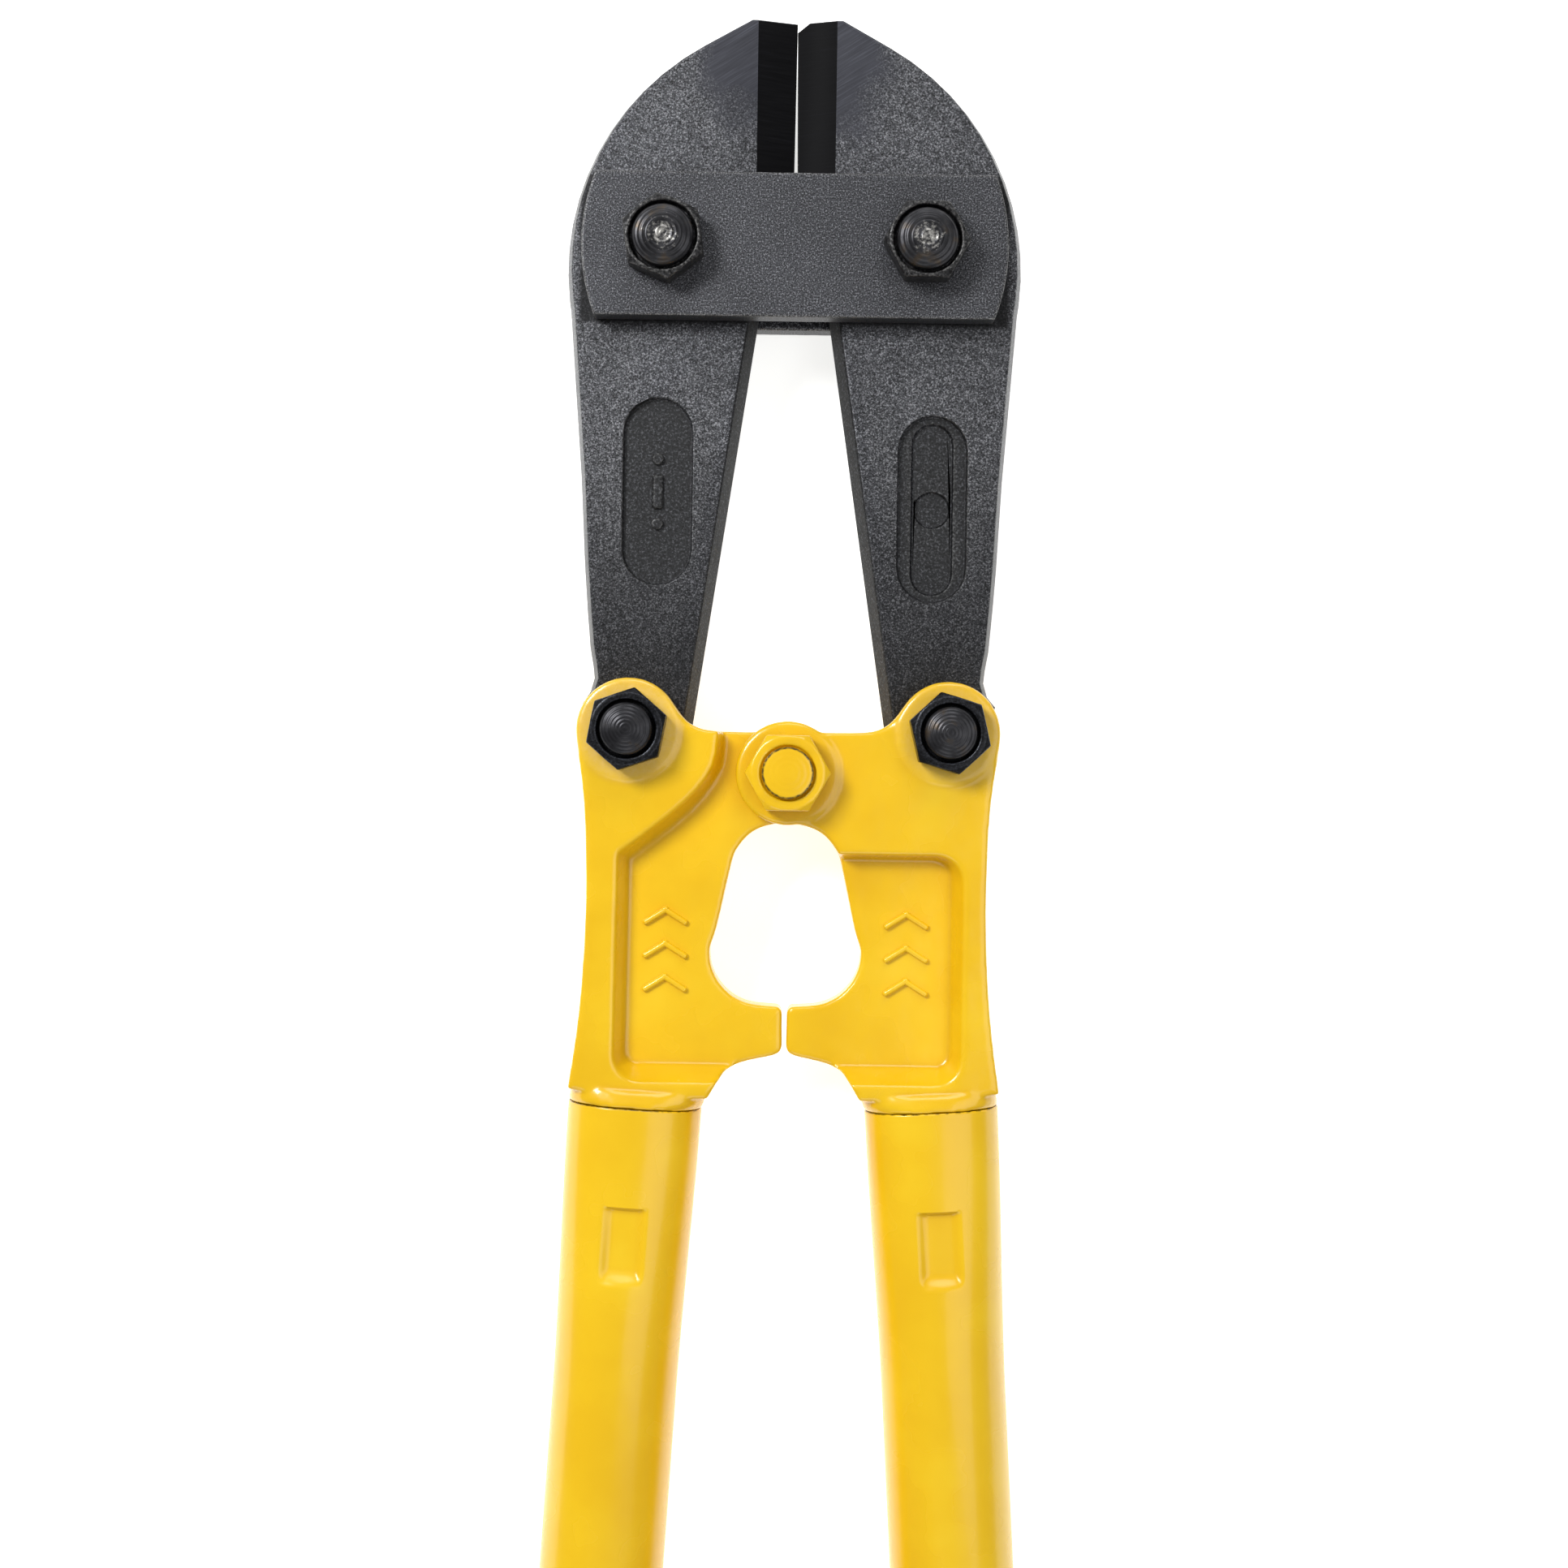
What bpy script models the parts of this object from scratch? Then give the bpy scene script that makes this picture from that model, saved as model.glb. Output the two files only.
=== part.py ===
"""Bolt cutters, 900 mm, compound lever: a head of two strap plates, two jaws, and two handles.

The tool lies flat on its back with its jaws along +Y. The shapes below are made in millimetres,
measured from the centre bolt: x to the right, y towards the jaws, z up from the tool's middle plane.
Every shape is that of a right-hand piece, and a left-hand piece is its mirror image.
"""
import math

import bmesh
import bpy
from mathutils import Matrix, Vector

MM = 0.001

# Whole tool
OVERALL_LENGTH = 900.0
MIDDLE_HEIGHT = 20.0        # middle plane above the surface that the tool lies on
TIP_Y = 194.4               # jaw tips above the centre bolt
FIT = 0.3                   # gap between pieces that touch

# Pivots, from the centre bolt
STRAP_PIVOT = (33.3, 134.7)
LINK_PIVOT = (40.8, 10.6)
CENTRE_PIVOT = (0.0, 0.0)

# Jaw blades
BLADE_HALF = 5.5            # half thickness
ARM_END_RADIUS = 13.6       # round end of the arm, about the link bolt
EDGE_BEVEL = 10.0           # width of the cutting bevel
EDGE_END_Y = 150.0          # lower end of the cutting bevel
CROWN_CENTRE = (-7.8, 130.0)
CROWN_RADIUS = 66.5
RECESS_WIDTH = 17.7
RECESS_LENGTH = 48.0
RECESS_DEPTH = 1.6
RECESS_CENTRE = {1: (36.2, 68.4), -1: (34.5, 72.1)}
SLOT_WIDTH = 10.5           # milled slot in the right blade's recess
SLOT_DEPTH = 2.6
SLOT_DIMPLE_RADIUS = 5.0
SLOT_DIMPLE_DEPTH = 3.4

# Strap plates
STRAP_HALF_HEIGHT = 18.4
STRAP_MIDDLE_Y = 134.4
STRAP_CORNER_X = 51.0
STRAP_BULGE = 3.4           # how far the ends bow out past the corners
STRAP_INNER = BLADE_HALF + FIT
STRAP_OUTER = 13.2

# Bolts and nuts
BOLT_RADIUS = 6.0
HOLE_RADIUS = BOLT_RADIUS + FIT
STRAP_NUT_FLATS = 19.2
LINK_NUT_FLATS = 18.5
CENTRE_NUT_FLATS = 19.0
NUT_HEIGHT = 8.0
NUT_CHAMFER = 1.5
HEAD_FLATS = 19.0
STRAP_DOME_RADIUS = 7.7
LINK_DOME_RADIUS = 6.7

# Handle castings
EAR_RADIUS = 13.3
EAR_OUTER = 12.3            # half thickness of the ears, rib and collar
BOSS_HEIGHT = 0.6
WEB_HALF = 5.5              # half thickness of the web, the tongue and the stop pad
LINK_SLOT_RADIUS = 17.0     # fork slot round the arm's end
CENTRE_SLOT_RADIUS = 18.4   # fork slot round the tongue
TONGUE_HOLE_RADIUS = 11.2   # wide, because the linkage is opened at the centre bolt
PAD_X = 0.6                 # half the gap between the stop pads
WALL_SLOPE = 2.6            # how far the pocket's outer wall runs in on its way down to the web
TOP_SLOPE = 1.2
BOTTOM_SLOPE = 4.6
COLLAR_LENGTH = 3.6
SHANK_LENGTH = 55.0

# Handle tubes: distances along a tube run down from the seam at the casting
SEAM_CENTRE = (38.3, -85.9)
TUBE_LEAN = math.radians(3.38)
TUBE_WALL = 2.5
TUBE_RADIUS = 16.0
SEAM_HALF_WIDTH = 17.2
SEAM_HALF_HEIGHT = 14.7
SEAM_POWER = 2.4            # superellipse power of the flattened end
FLATTENED_LENGTH = 75.0
DENT_DISTANCE = 35.0
DENT_TOP = (6.0, 10.0)      # half width and half length at the surface
DENT_FLOOR = (4.0, 7.2)
DENT_DEPTH = 1.6

# Grips
GRIP_RADIUS = 18.8
GRIP_LENGTH = 150.0
GRIP_FLANGE_RADIUS = 20.0
GRIP_END_WALL = 4.0

# Sides of the round shapes
TUBE_STEPS = 32
FASTENER_STEPS = 24


def arc(centre, radius, start, end, steps):
    """Points along an arc from one angle to another, in degrees."""
    points = []
    for i in range(steps + 1):
        angle = math.radians(start + (end - start) * i / steps)
        x = centre[0] + radius * math.cos(angle)
        y = centre[1] + radius * math.sin(angle)
        points.append((x, y))
    return points


def curve_through(knots, steps):
    """A smooth curve through the knots (Catmull-Rom), with this many steps between each two."""
    knots = [Vector(knot) for knot in knots]
    first = knots[0] * 2 - knots[1]
    last = knots[-1] * 2 - knots[-2]
    chain = [first] + knots + [last]
    points = []
    for i in range(1, len(chain) - 2):
        before, start, end, after = chain[i - 1:i + 3]
        for k in range(steps):
            t = k / steps
            point = (start * 2 + (end - before) * t
                     + (before * 2 - start * 5 + end * 4 - after) * t ** 2
                     + (start * 3 - before - end * 3 + after) * t ** 3) / 2
            points.append(tuple(point))
    points.append(tuple(knots[-1]))
    return points


def inset_outline(points, insets):
    """Moves each edge of a counter-clockwise outline inwards, by the inset listed for the point before it."""
    moved = []
    for i, point in enumerate(points):
        here = Vector(point)
        before = (here - Vector(points[i - 1])).normalized()
        after = (Vector(points[(i + 1) % len(points)]) - here).normalized()
        normal_before = Vector((-before.y, before.x))
        normal_after = Vector((-after.y, after.x))
        turn = before.x * after.y - before.y * after.x
        if abs(turn) > 0.35:
            # a corner: both edges keep their own inset
            a, b = insets[i - 1], insets[i]
            x = (a * normal_after.y - b * normal_before.y) / turn
            y = (b * normal_before.x - a * normal_after.x) / turn
            here += Vector((x, y))
        else:
            here += (normal_before + normal_after).normalized() * insets[i]
        moved.append(tuple(here))
    return moved


def level(outline, z):
    """An outline as a ring at one height."""
    return [(x, y, z) for x, y in outline]


def circle(centre, radius, z, steps=FASTENER_STEPS):
    return level(arc(centre, radius, 0, 360, steps)[:-1], z)


def hexagon(centre, flats, z, turn):
    return level(arc(centre, flats / 2 / math.cos(math.pi / 6), turn, turn + 360, 6)[:-1], z)


def solid(name, rings, side=1, looped=False):
    """A closed solid through rings of equal length, capped at both ends or looped like a tube wall."""
    shape = bmesh.new()
    rows = [[shape.verts.new(point) for point in ring] for ring in rings]
    pairs = list(zip(rows, rows[1:]))
    if looped:
        pairs.append((rows[-1], rows[0]))
    else:
        shape.faces.new(list(reversed(rows[0])))
        shape.faces.new(rows[-1])
    for lower, upper in pairs:
        for i in range(len(lower)):
            k = (i + 1) % len(lower)
            shape.faces.new((lower[i], lower[k], upper[k], upper[i]))
    if side < 0:
        bmesh.ops.scale(shape, vec=(-1, 1, 1), verts=shape.verts)
        bmesh.ops.reverse_faces(shape, faces=shape.faces)
    mesh = bpy.data.meshes.new(name)
    shape.to_mesh(mesh)
    shape.free()
    piece = bpy.data.objects.new(name, mesh)
    bpy.context.scene.collection.objects.link(piece)
    return piece


def prism(name, outline, bottom, top, side=1):
    return solid(name, [level(outline, bottom), level(outline, top)], side)


def combine(piece, tool, operation):
    """Joins a tool solid to a piece, cuts it away or keeps what both share, and removes the tool."""
    modifier = piece.modifiers.new("shape", "BOOLEAN")
    modifier.operation = operation
    modifier.solver = "EXACT"
    modifier.object = tool
    bpy.context.view_layer.update()
    shaped = piece.evaluated_get(bpy.context.evaluated_depsgraph_get())
    mesh = bpy.data.meshes.new_from_object(shaped)
    piece.modifiers.clear()
    piece.data = mesh
    bpy.data.objects.remove(tool)


def cut(piece, tool):
    combine(piece, tool, "DIFFERENCE")


def join(piece, tool):
    combine(piece, tool, "UNION")


def bore(piece, centre, radius, side):
    """A round hole right through a piece."""
    reach = 40
    cut(piece, solid("bore", [circle(centre, radius, -reach), circle(centre, radius, reach)], side))


def finish(piece, parent, pivot, material):
    """Puts a piece in metres under its parent, with its origin on the pivot, and gives it its material."""
    piece.data.transform(Matrix.Translation((-pivot[0], -pivot[1], 0)))
    piece.data.transform(Matrix.Scale(MM, 4))
    piece.data.shade_smooth()
    piece.data.set_sharp_from_angle(angle=math.radians(35))
    piece.data.name = piece.name
    piece.data.materials.clear()
    piece.data.materials.append(material)
    piece.parent = parent


def surface(name, colour, roughness, metallic):
    material = bpy.data.materials.new(name)
    material.use_nodes = True
    shader = material.node_tree.nodes["Principled BSDF"]
    shader.inputs["Base Color"].default_value = (*colour, 1)
    shader.inputs["Roughness"].default_value = roughness
    shader.inputs["Metallic"].default_value = metallic
    return material


def pivot_empty(name, parent, place):
    empty = bpy.data.objects.new(name, None)
    bpy.context.scene.collection.objects.link(empty)
    empty.empty_display_size = 0.02
    empty.parent = parent
    empty.location = Vector(place) * MM
    return empty


# Jaw blades ---------------------------------------------------------------------------------------

def blade_outlines():
    """The blade's outline at its middle plane and at its faces, counter-clockwise from the arm's end."""
    edge_x = FIT / 2
    nose_radius = STRAP_PIVOT[0] - edge_x
    arm_side = curve_through([(52.9, 16.9), (50.4, 24.0), (51.6, 32.0), (53.3, 53.0), (54.5, 75.8),
                              (56.4, 100.7), (57.8, 119.0)], 2)
    stretches = [
        (arc(LINK_PIVOT, ARM_END_RADIUS, 225, 385, 16), 0.8),
        (arm_side, 1.4),
        (arc(CROWN_CENTRE, CROWN_RADIUS, -7, 61, 12), 1.4),
        ([(13.3, TIP_Y)], 0.6),
        ([(edge_x, TIP_Y), (edge_x, EDGE_END_Y)], EDGE_BEVEL),
        ([(edge_x, EDGE_END_Y - 6.5)], 0.6),
        (arc(STRAP_PIVOT, nose_radius, 180, 203, 5), 0.6),
        ([(8.6, 119.5), (17.2, 63.0), (25.2, 8.2)], 2.6),
    ]
    outline = []
    insets = []
    for points, inset in stretches:
        outline += points
        insets += [inset] * len(points)
    return outline, inset_outline(outline, insets)


def stadium(centre, width, length):
    """An upright slot outline with round ends."""
    reach = (length - width) / 2
    top = arc((centre[0], centre[1] + reach), width / 2, 0, 180, 10)
    bottom = arc((centre[0], centre[1] - reach), width / 2, 180, 360, 10)
    return top + bottom


def make_blade(name, side):
    middle, face = blade_outlines()
    blade = solid(name, [level(face, -BLADE_HALF), level(middle, 0), level(face, BLADE_HALF)], side)
    centre = RECESS_CENTRE[side]
    recess = stadium(centre, RECESS_WIDTH, RECESS_LENGTH)
    floor = BLADE_HALF - RECESS_DEPTH
    above = BLADE_HALF + 1
    cut(blade, prism("recess", recess, floor, above, side))
    cut(blade, prism("recess", recess, -above, -floor, side))
    if side > 0:
        slot = stadium(centre, SLOT_WIDTH, RECESS_LENGTH - 4)
        cut(blade, prism("slot", slot, BLADE_HALF - SLOT_DEPTH, above))
        dimple = arc(centre, SLOT_DIMPLE_RADIUS - 0.4, 0, 360, 20)[:-1]
        cut(blade, prism("dimple", dimple, BLADE_HALF - SLOT_DIMPLE_DEPTH, above))
    bore(blade, STRAP_PIVOT, HOLE_RADIUS, side)
    bore(blade, LINK_PIVOT, HOLE_RADIUS, side)
    return blade


# Strap plates -------------------------------------------------------------------------------------

def strap_outline():
    """The plate's outline, with bowed ends."""
    end_radius = (STRAP_HALF_HEIGHT ** 2 + STRAP_BULGE ** 2) / (2 * STRAP_BULGE)
    centre_x = STRAP_CORNER_X + STRAP_BULGE - end_radius
    half_angle = math.degrees(math.asin(STRAP_HALF_HEIGHT / end_radius))
    right = arc((centre_x, STRAP_MIDDLE_Y), end_radius, -half_angle, half_angle, 8)
    left = arc((-centre_x, STRAP_MIDDLE_Y), end_radius, 180 - half_angle, 180 + half_angle, 8)
    return right + left


def make_strap_plate(name, bottom, top):
    plate = prism(name, strap_outline(), bottom, top)
    for side in (1, -1):
        bore(plate, STRAP_PIVOT, HOLE_RADIUS, side)
    return plate


# Bolts and nuts -----------------------------------------------------------------------------------

def chamfer_barrel(centre, flats, bottom, top):
    """The turned shape whose cones take the corners off a hexagon."""
    wide = flats / 2 / math.cos(math.pi / 6) + 0.4
    narrow = flats / 2 - 0.1
    return [circle(centre, narrow, bottom), circle(centre, wide, bottom + NUT_CHAMFER),
            circle(centre, wide, top - NUT_CHAMFER), circle(centre, narrow, top)]


def make_nut(name, centre, flats, bottom, turn, side):
    top = bottom + NUT_HEIGHT
    nut = solid(name, [hexagon(centre, flats, bottom, turn), hexagon(centre, flats, top, turn)], side)
    combine(nut, solid("barrel", chamfer_barrel(centre, flats, bottom, top), side), "INTERSECT")
    bore(nut, centre, HOLE_RADIUS, side)
    return nut


def make_bolt(name, centre, head_bottom, head_top, end_profile, turn, side):
    """A hexagon-headed bolt; the end profile lists (radius, height) up from the nut."""
    bolt = solid(name, [hexagon(centre, HEAD_FLATS, head_bottom, turn),
                        hexagon(centre, HEAD_FLATS, head_top, turn)], side)
    profile = [(BOLT_RADIUS, head_top - 1), (BOLT_RADIUS, end_profile[0][1])] + end_profile
    join(bolt, solid("shank", [circle(centre, radius, z) for radius, z in profile], side))
    return bolt


def dome_profile(radius, base, height):
    """A domed bolt end, wider than its shank, as a list of (radius, height)."""
    ball = (radius ** 2 + height ** 2) / (2 * height)
    half_angle = math.asin(radius / ball)
    profile = [(radius, base)]
    for step in (0.75, 0.5, 0.25):
        angle = half_angle * step
        profile.append((ball * math.sin(angle), base + height - ball * (1 - math.cos(angle)) + 0.5))
    return profile


# Handle castings ----------------------------------------------------------------------------------

def tube_point(across, distance, z=0.0):
    """A point near the tube's axis: across it, down it from the seam, and up from the middle plane."""
    x = SEAM_CENTRE[0] + distance * math.sin(TUBE_LEAN) + across * math.cos(TUBE_LEAN)
    y = SEAM_CENTRE[1] - distance * math.cos(TUBE_LEAN) + across * math.sin(TUBE_LEAN)
    return (x, y, z)


def oval_ring(half_width, half_height, power, distance, shift=0.0):
    """A superellipse ring square to the tube's axis."""
    ring = []
    for i in range(TUBE_STEPS):
        angle = 2 * math.pi * i / TUBE_STEPS
        c, s = math.cos(angle), math.sin(angle)
        across = shift + half_width * math.copysign(abs(c) ** (2 / power), c)
        z = half_height * math.copysign(abs(s) ** (2 / power), s)
        ring.append(tube_point(across, distance, z))
    return ring


def tube_ring(distance, inwards=0.0):
    """The tube's section, flattened at the seam and round further down, moved inwards from its surface."""
    t = min(max(distance / FLATTENED_LENGTH, 0), 1)
    t = t * t * (3 - 2 * t)
    half_width = SEAM_HALF_WIDTH + (TUBE_RADIUS - SEAM_HALF_WIDTH) * t - inwards
    half_height = SEAM_HALF_HEIGHT + (TUBE_RADIUS - SEAM_HALF_HEIGHT) * t - inwards
    return oval_ring(half_width, half_height, SEAM_POWER + (2 - SEAM_POWER) * t, distance)


def casting_outline():
    """The casting's outline above its collar, counter-clockwise from the collar's inner corner."""
    inner_corner = tube_point(-18.6, -COLLAR_LENGTH)[:2]
    outer_corner = tube_point(17.0, -COLLAR_LENGTH)[:2]
    outer_side = curve_through([outer_corner, (53.0, -66.7), (51.7, -52.0), (51.0, -35.0), (51.2, -20.4),
                                (51.7, -9.9), (52.6, -1.5), (53.4, 3.5), (54.0, 8.9)], 2)
    valley = curve_through([(29.3, 17.25), (26.2, 13.2), (22.0, 11.0), (16.0, 10.5), (8.19, 10.48)], 2)
    hole_side = curve_through([(2.8, -13.0), (6.6, -13.95), (9.9, -16.0), (12.75, -19.5), (14.0, -22.6),
                               (15.95, -31.5), (17.85, -40.2), (19.45, -45.0)], 2)
    hole_corner = arc((5.9, -46.2), 13.6, 0, -88, 10)
    pad = [(1.6, -60.1), (PAD_X, -61.1), (PAD_X, -70.8), (1.3, -72.0), (2.9, -72.7)]
    underside = curve_through([(9.3, -74.1), (15.0, -76.5), inner_corner], 2)
    outline = outer_side
    outline += arc(LINK_PIVOT, EAR_RADIUS, 0, 150, 14)[:-1]
    outline += valley
    outline += arc(CENTRE_PIVOT, EAR_RADIUS, 60, 276, 20)
    outline += hole_side
    outline += hole_corner
    outline += pad
    outline += underside
    return outline


def shares(start, end, steps):
    """Numbers going evenly from one value to another."""
    return [start + (end - start) * i / steps for i in range(steps + 1)]


def fork_pocket():
    """Where the right casting, a fork at the centre bolt, is thinned to its web, with each wall's slope."""
    top, bottom, wall, reach, radius = -20.4, -79.4, 45.2, -8.0, 7.0
    lower = arc((wall - radius, bottom + radius), radius, 270, 360, 6)
    upper = arc((wall - radius, top - radius), radius, 0, 90, 6)
    slopes = shares(BOTTOM_SLOPE, WALL_SLOPE, 6) + shares(WALL_SLOPE, TOP_SLOPE, 6) + [0, BOTTOM_SLOPE]
    return lower + upper + [(reach, top), (reach, bottom)], slopes


def tongue_pocket():
    """Where the left casting is thinned to its web and to the tongue, with each wall's slope."""
    bottom, wall, reach, radius = -79.4, 43.7, -20.0, 7.0
    lower = arc((wall - radius, bottom + radius), radius, 270, 360, 6)
    step = curve_through([(43.2, -21.0), (30.6, -11.4), (23.5, -4.8), (19.2, 1.7),
                          (18.0, 8.8), (18.0, 17.0)], 2)
    along_step = shares(WALL_SLOPE, TOP_SLOPE, len(step) - 2)
    slopes = shares(BOTTOM_SLOPE, WALL_SLOPE, 6) + along_step + [0, 0, BOTTOM_SLOPE]
    return lower + step + [(reach, 17.0), (reach, bottom)], slopes


def cut_pockets(casting, outline, slopes, side):
    """Thins the casting from both faces, with walls that slope down to the web."""
    floor = inset_outline(outline, slopes)
    above = EAR_OUTER + 2
    front = [level(floor, WEB_HALF), level(outline, EAR_OUTER), level(outline, above)]
    rear = [level(outline, -above), level(outline, -EAR_OUTER), level(floor, -WEB_HALF)]
    cut(casting, solid("pocket", front, side))
    cut(casting, solid("pocket", rear, side))


def make_casting(name, side, forked):
    casting = prism(name, casting_outline(), -EAR_OUTER, EAR_OUTER, side)
    outline, slopes = fork_pocket() if forked else tongue_pocket()
    cut_pockets(casting, outline, slopes, side)

    # The collar starts a little inside the body, and widens to the tube's own section at the seam.
    collar = [oval_ring(17.1, 13.4, 3.6, 0.35 - COLLAR_LENGTH - 1, -0.8),
              oval_ring(17.5, 14.2, 3.0, -COLLAR_LENGTH / 2, -0.4),
              oval_ring(SEAM_HALF_WIDTH, SEAM_HALF_HEIGHT, SEAM_POWER, 0)]
    join(casting, solid("collar", collar, side))
    inwards = TUBE_WALL + FIT
    shank = [tube_ring(distance, inwards) for distance in (-4, 0, 18, 36, SHANK_LENGTH)]
    join(casting, solid("shank", shank, side))

    # Bosses round the bolts, then the fork slots and the holes.
    boss_centres = [LINK_PIVOT, CENTRE_PIVOT] if forked else [LINK_PIVOT]
    boss_top = EAR_OUTER + BOSS_HEIGHT
    for centre in boss_centres:
        boss = [circle(centre, EAR_RADIUS - 0.3, -boss_top), circle(centre, EAR_RADIUS - 0.3, boss_top)]
        join(casting, solid("boss", boss, side))
    slot_half = BLADE_HALF + FIT
    slot = arc(LINK_PIVOT, LINK_SLOT_RADIUS, 0, 360, 40)[:-1]
    cut(casting, prism("slot", slot, -slot_half, slot_half, side))
    bore(casting, LINK_PIVOT, HOLE_RADIUS, side)
    if forked:
        slot = arc(CENTRE_PIVOT, CENTRE_SLOT_RADIUS, 0, 360, 40)[:-1]
        cut(casting, prism("slot", slot, -slot_half, slot_half, side))
    bore(casting, CENTRE_PIVOT, HOLE_RADIUS if forked else TONGUE_HOLE_RADIUS, side)
    return casting


# Tubes and grips ----------------------------------------------------------------------------------

def handle_length():
    """Distance from the seam to the grip's end, so that the tool has its overall length."""
    lowest = TIP_Y - OVERALL_LENGTH
    end_rim = (GRIP_RADIUS - 3) * math.sin(TUBE_LEAN)
    return (SEAM_CENTRE[1] - lowest - end_rim) / math.cos(TUBE_LEAN)


def make_tube(name, side):
    end = handle_length() - GRIP_END_WALL - FIT
    stations = [FIT, 12, 24, 36, 48, 60, FLATTENED_LENGTH, end]
    outer = [tube_ring(distance) for distance in stations]
    inner = [tube_ring(distance, TUBE_WALL) for distance in stations]
    tube = solid(name, outer + list(reversed(inner)), side, looped=True)
    surface_z = SEAM_HALF_HEIGHT + 0.5
    for face in (1, -1):
        block = []
        for (width, length), z in ((DENT_FLOOR, surface_z - DENT_DEPTH), (DENT_TOP, surface_z + 0.4)):
            corners = [(-width, length), (width, length), (width, -length), (-width, -length)]
            block.append([tube_point(x, DENT_DISTANCE + along, face * z) for x, along in corners])
        if face < 0:
            block.reverse()
        cut(tube, solid("dent", block, side))
    return tube


def make_grip(name, side):
    end = handle_length()
    start = end - GRIP_LENGTH
    bore_radius = TUBE_RADIUS + FIT
    inner = [(bore_radius, end - GRIP_END_WALL), (bore_radius, start)]
    outer = [(GRIP_FLANGE_RADIUS - 1, start), (GRIP_FLANGE_RADIUS, start + 1),
             (GRIP_FLANGE_RADIUS, start + 6), (GRIP_RADIUS, start + 10),
             (GRIP_RADIUS, end - 14), (GRIP_FLANGE_RADIUS, end - 9),
             (GRIP_FLANGE_RADIUS, end - 4), (GRIP_RADIUS - 0.8, end - 0.9), (GRIP_RADIUS - 3, end)]
    rings = [oval_ring(radius, radius, 2, distance) for radius, distance in inner + outer]
    return solid(name, rings, side)


# The tool -----------------------------------------------------------------------------------------

def build():
    for thing in list(bpy.data.objects):
        bpy.data.objects.remove(thing)

    black_blade = surface("black_oxide_forging", (0.062, 0.064, 0.072), 0.42, 0.9)
    black_strap = surface("black_oxide_plate", (0.042, 0.043, 0.047), 0.5, 0.85)
    black_bolt = surface("black_oxide_fastener", (0.05, 0.05, 0.053), 0.45, 0.9)
    yellow = surface("yellow_enamel", (0.89, 0.57, 0.010), 0.3, 0.0)
    rubber = surface("black_pvc", (0.02, 0.02, 0.02), 0.6, 0.0)

    tool = pivot_empty("tool", None, (0, OVERALL_LENGTH / 2 - TIP_Y, MIDDLE_HEIGHT))
    head = pivot_empty("head", tool, (0, 0, 0))
    blade_pivots = {}
    handle_pivots = {}
    for side, word in ((1, "right"), (-1, "left")):
        strap_place = (side * STRAP_PIVOT[0], STRAP_PIVOT[1], 0)
        link_place = (side * LINK_PIVOT[0], LINK_PIVOT[1], 0)
        blade_pivots[side] = pivot_empty("blade_pivot_" + word, tool, strap_place)
        handle_pivots[side] = pivot_empty("handle_pivot_" + word, tool, link_place)

    plate = make_strap_plate("strap_plate_front", STRAP_INNER, STRAP_OUTER)
    finish(plate, head, CENTRE_PIVOT, black_strap)
    plate = make_strap_plate("strap_plate_rear", -STRAP_OUTER, -STRAP_INNER)
    finish(plate, head, CENTRE_PIVOT, black_strap)

    strap_nut_bottom = STRAP_OUTER + FIT
    link_nut_bottom = EAR_OUTER + BOSS_HEIGHT + FIT
    strap_end = dome_profile(STRAP_DOME_RADIUS, strap_nut_bottom + NUT_HEIGHT + FIT, 2.2)
    link_end = dome_profile(LINK_DOME_RADIUS, link_nut_bottom + NUT_HEIGHT + FIT, 1.8)
    centre_top = link_nut_bottom + NUT_HEIGHT + 1.0
    centre_end = [(BOLT_RADIUS, centre_top), (BOLT_RADIUS - 0.8, centre_top + 0.8)]

    for side, word in ((1, "right"), (-1, "left")):
        head_side = (side * STRAP_PIVOT[0], STRAP_PIVOT[1])
        hinge = (side * LINK_PIVOT[0], LINK_PIVOT[1])

        blade = make_blade("blade_" + word, side)
        finish(blade, blade_pivots[side], head_side, black_blade)
        nut = make_nut("strap_nut_" + word, STRAP_PIVOT, STRAP_NUT_FLATS, strap_nut_bottom,
                       0 if side > 0 else 22, side)
        finish(nut, head, CENTRE_PIVOT, black_bolt)
        bolt = make_bolt("strap_bolt_" + word, STRAP_PIVOT, -MIDDLE_HEIGHT, -STRAP_OUTER - FIT,
                         strap_end, 8, side)
        finish(bolt, head, CENTRE_PIVOT, black_bolt)

        casting = make_casting("handle_casting_" + word, side, side > 0)
        finish(casting, handle_pivots[side], hinge, yellow)
        tube = make_tube("handle_tube_" + word, side)
        finish(tube, handle_pivots[side], hinge, yellow)
        grip = make_grip("grip_" + word, side)
        finish(grip, handle_pivots[side], hinge, rubber)
        nut = make_nut("link_nut_" + word, LINK_PIVOT, LINK_NUT_FLATS, link_nut_bottom,
                       90 + (13.2 if side > 0 else 10.8), side)
        finish(nut, handle_pivots[side], hinge, black_bolt)
        bolt = make_bolt("link_bolt_" + word, LINK_PIVOT, 0.5 - MIDDLE_HEIGHT, -link_nut_bottom,
                         link_end, 20, side)
        finish(bolt, handle_pivots[side], hinge, black_bolt)

    hinge = LINK_PIVOT
    nut = make_nut("centre_nut", CENTRE_PIVOT, CENTRE_NUT_FLATS, link_nut_bottom, 0, 1)
    finish(nut, handle_pivots[1], hinge, yellow)
    bolt = make_bolt("centre_bolt", CENTRE_PIVOT, 0.5 - MIDDLE_HEIGHT, -link_nut_bottom, centre_end, 0, 1)
    finish(bolt, handle_pivots[1], hinge, yellow)


build()
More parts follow.
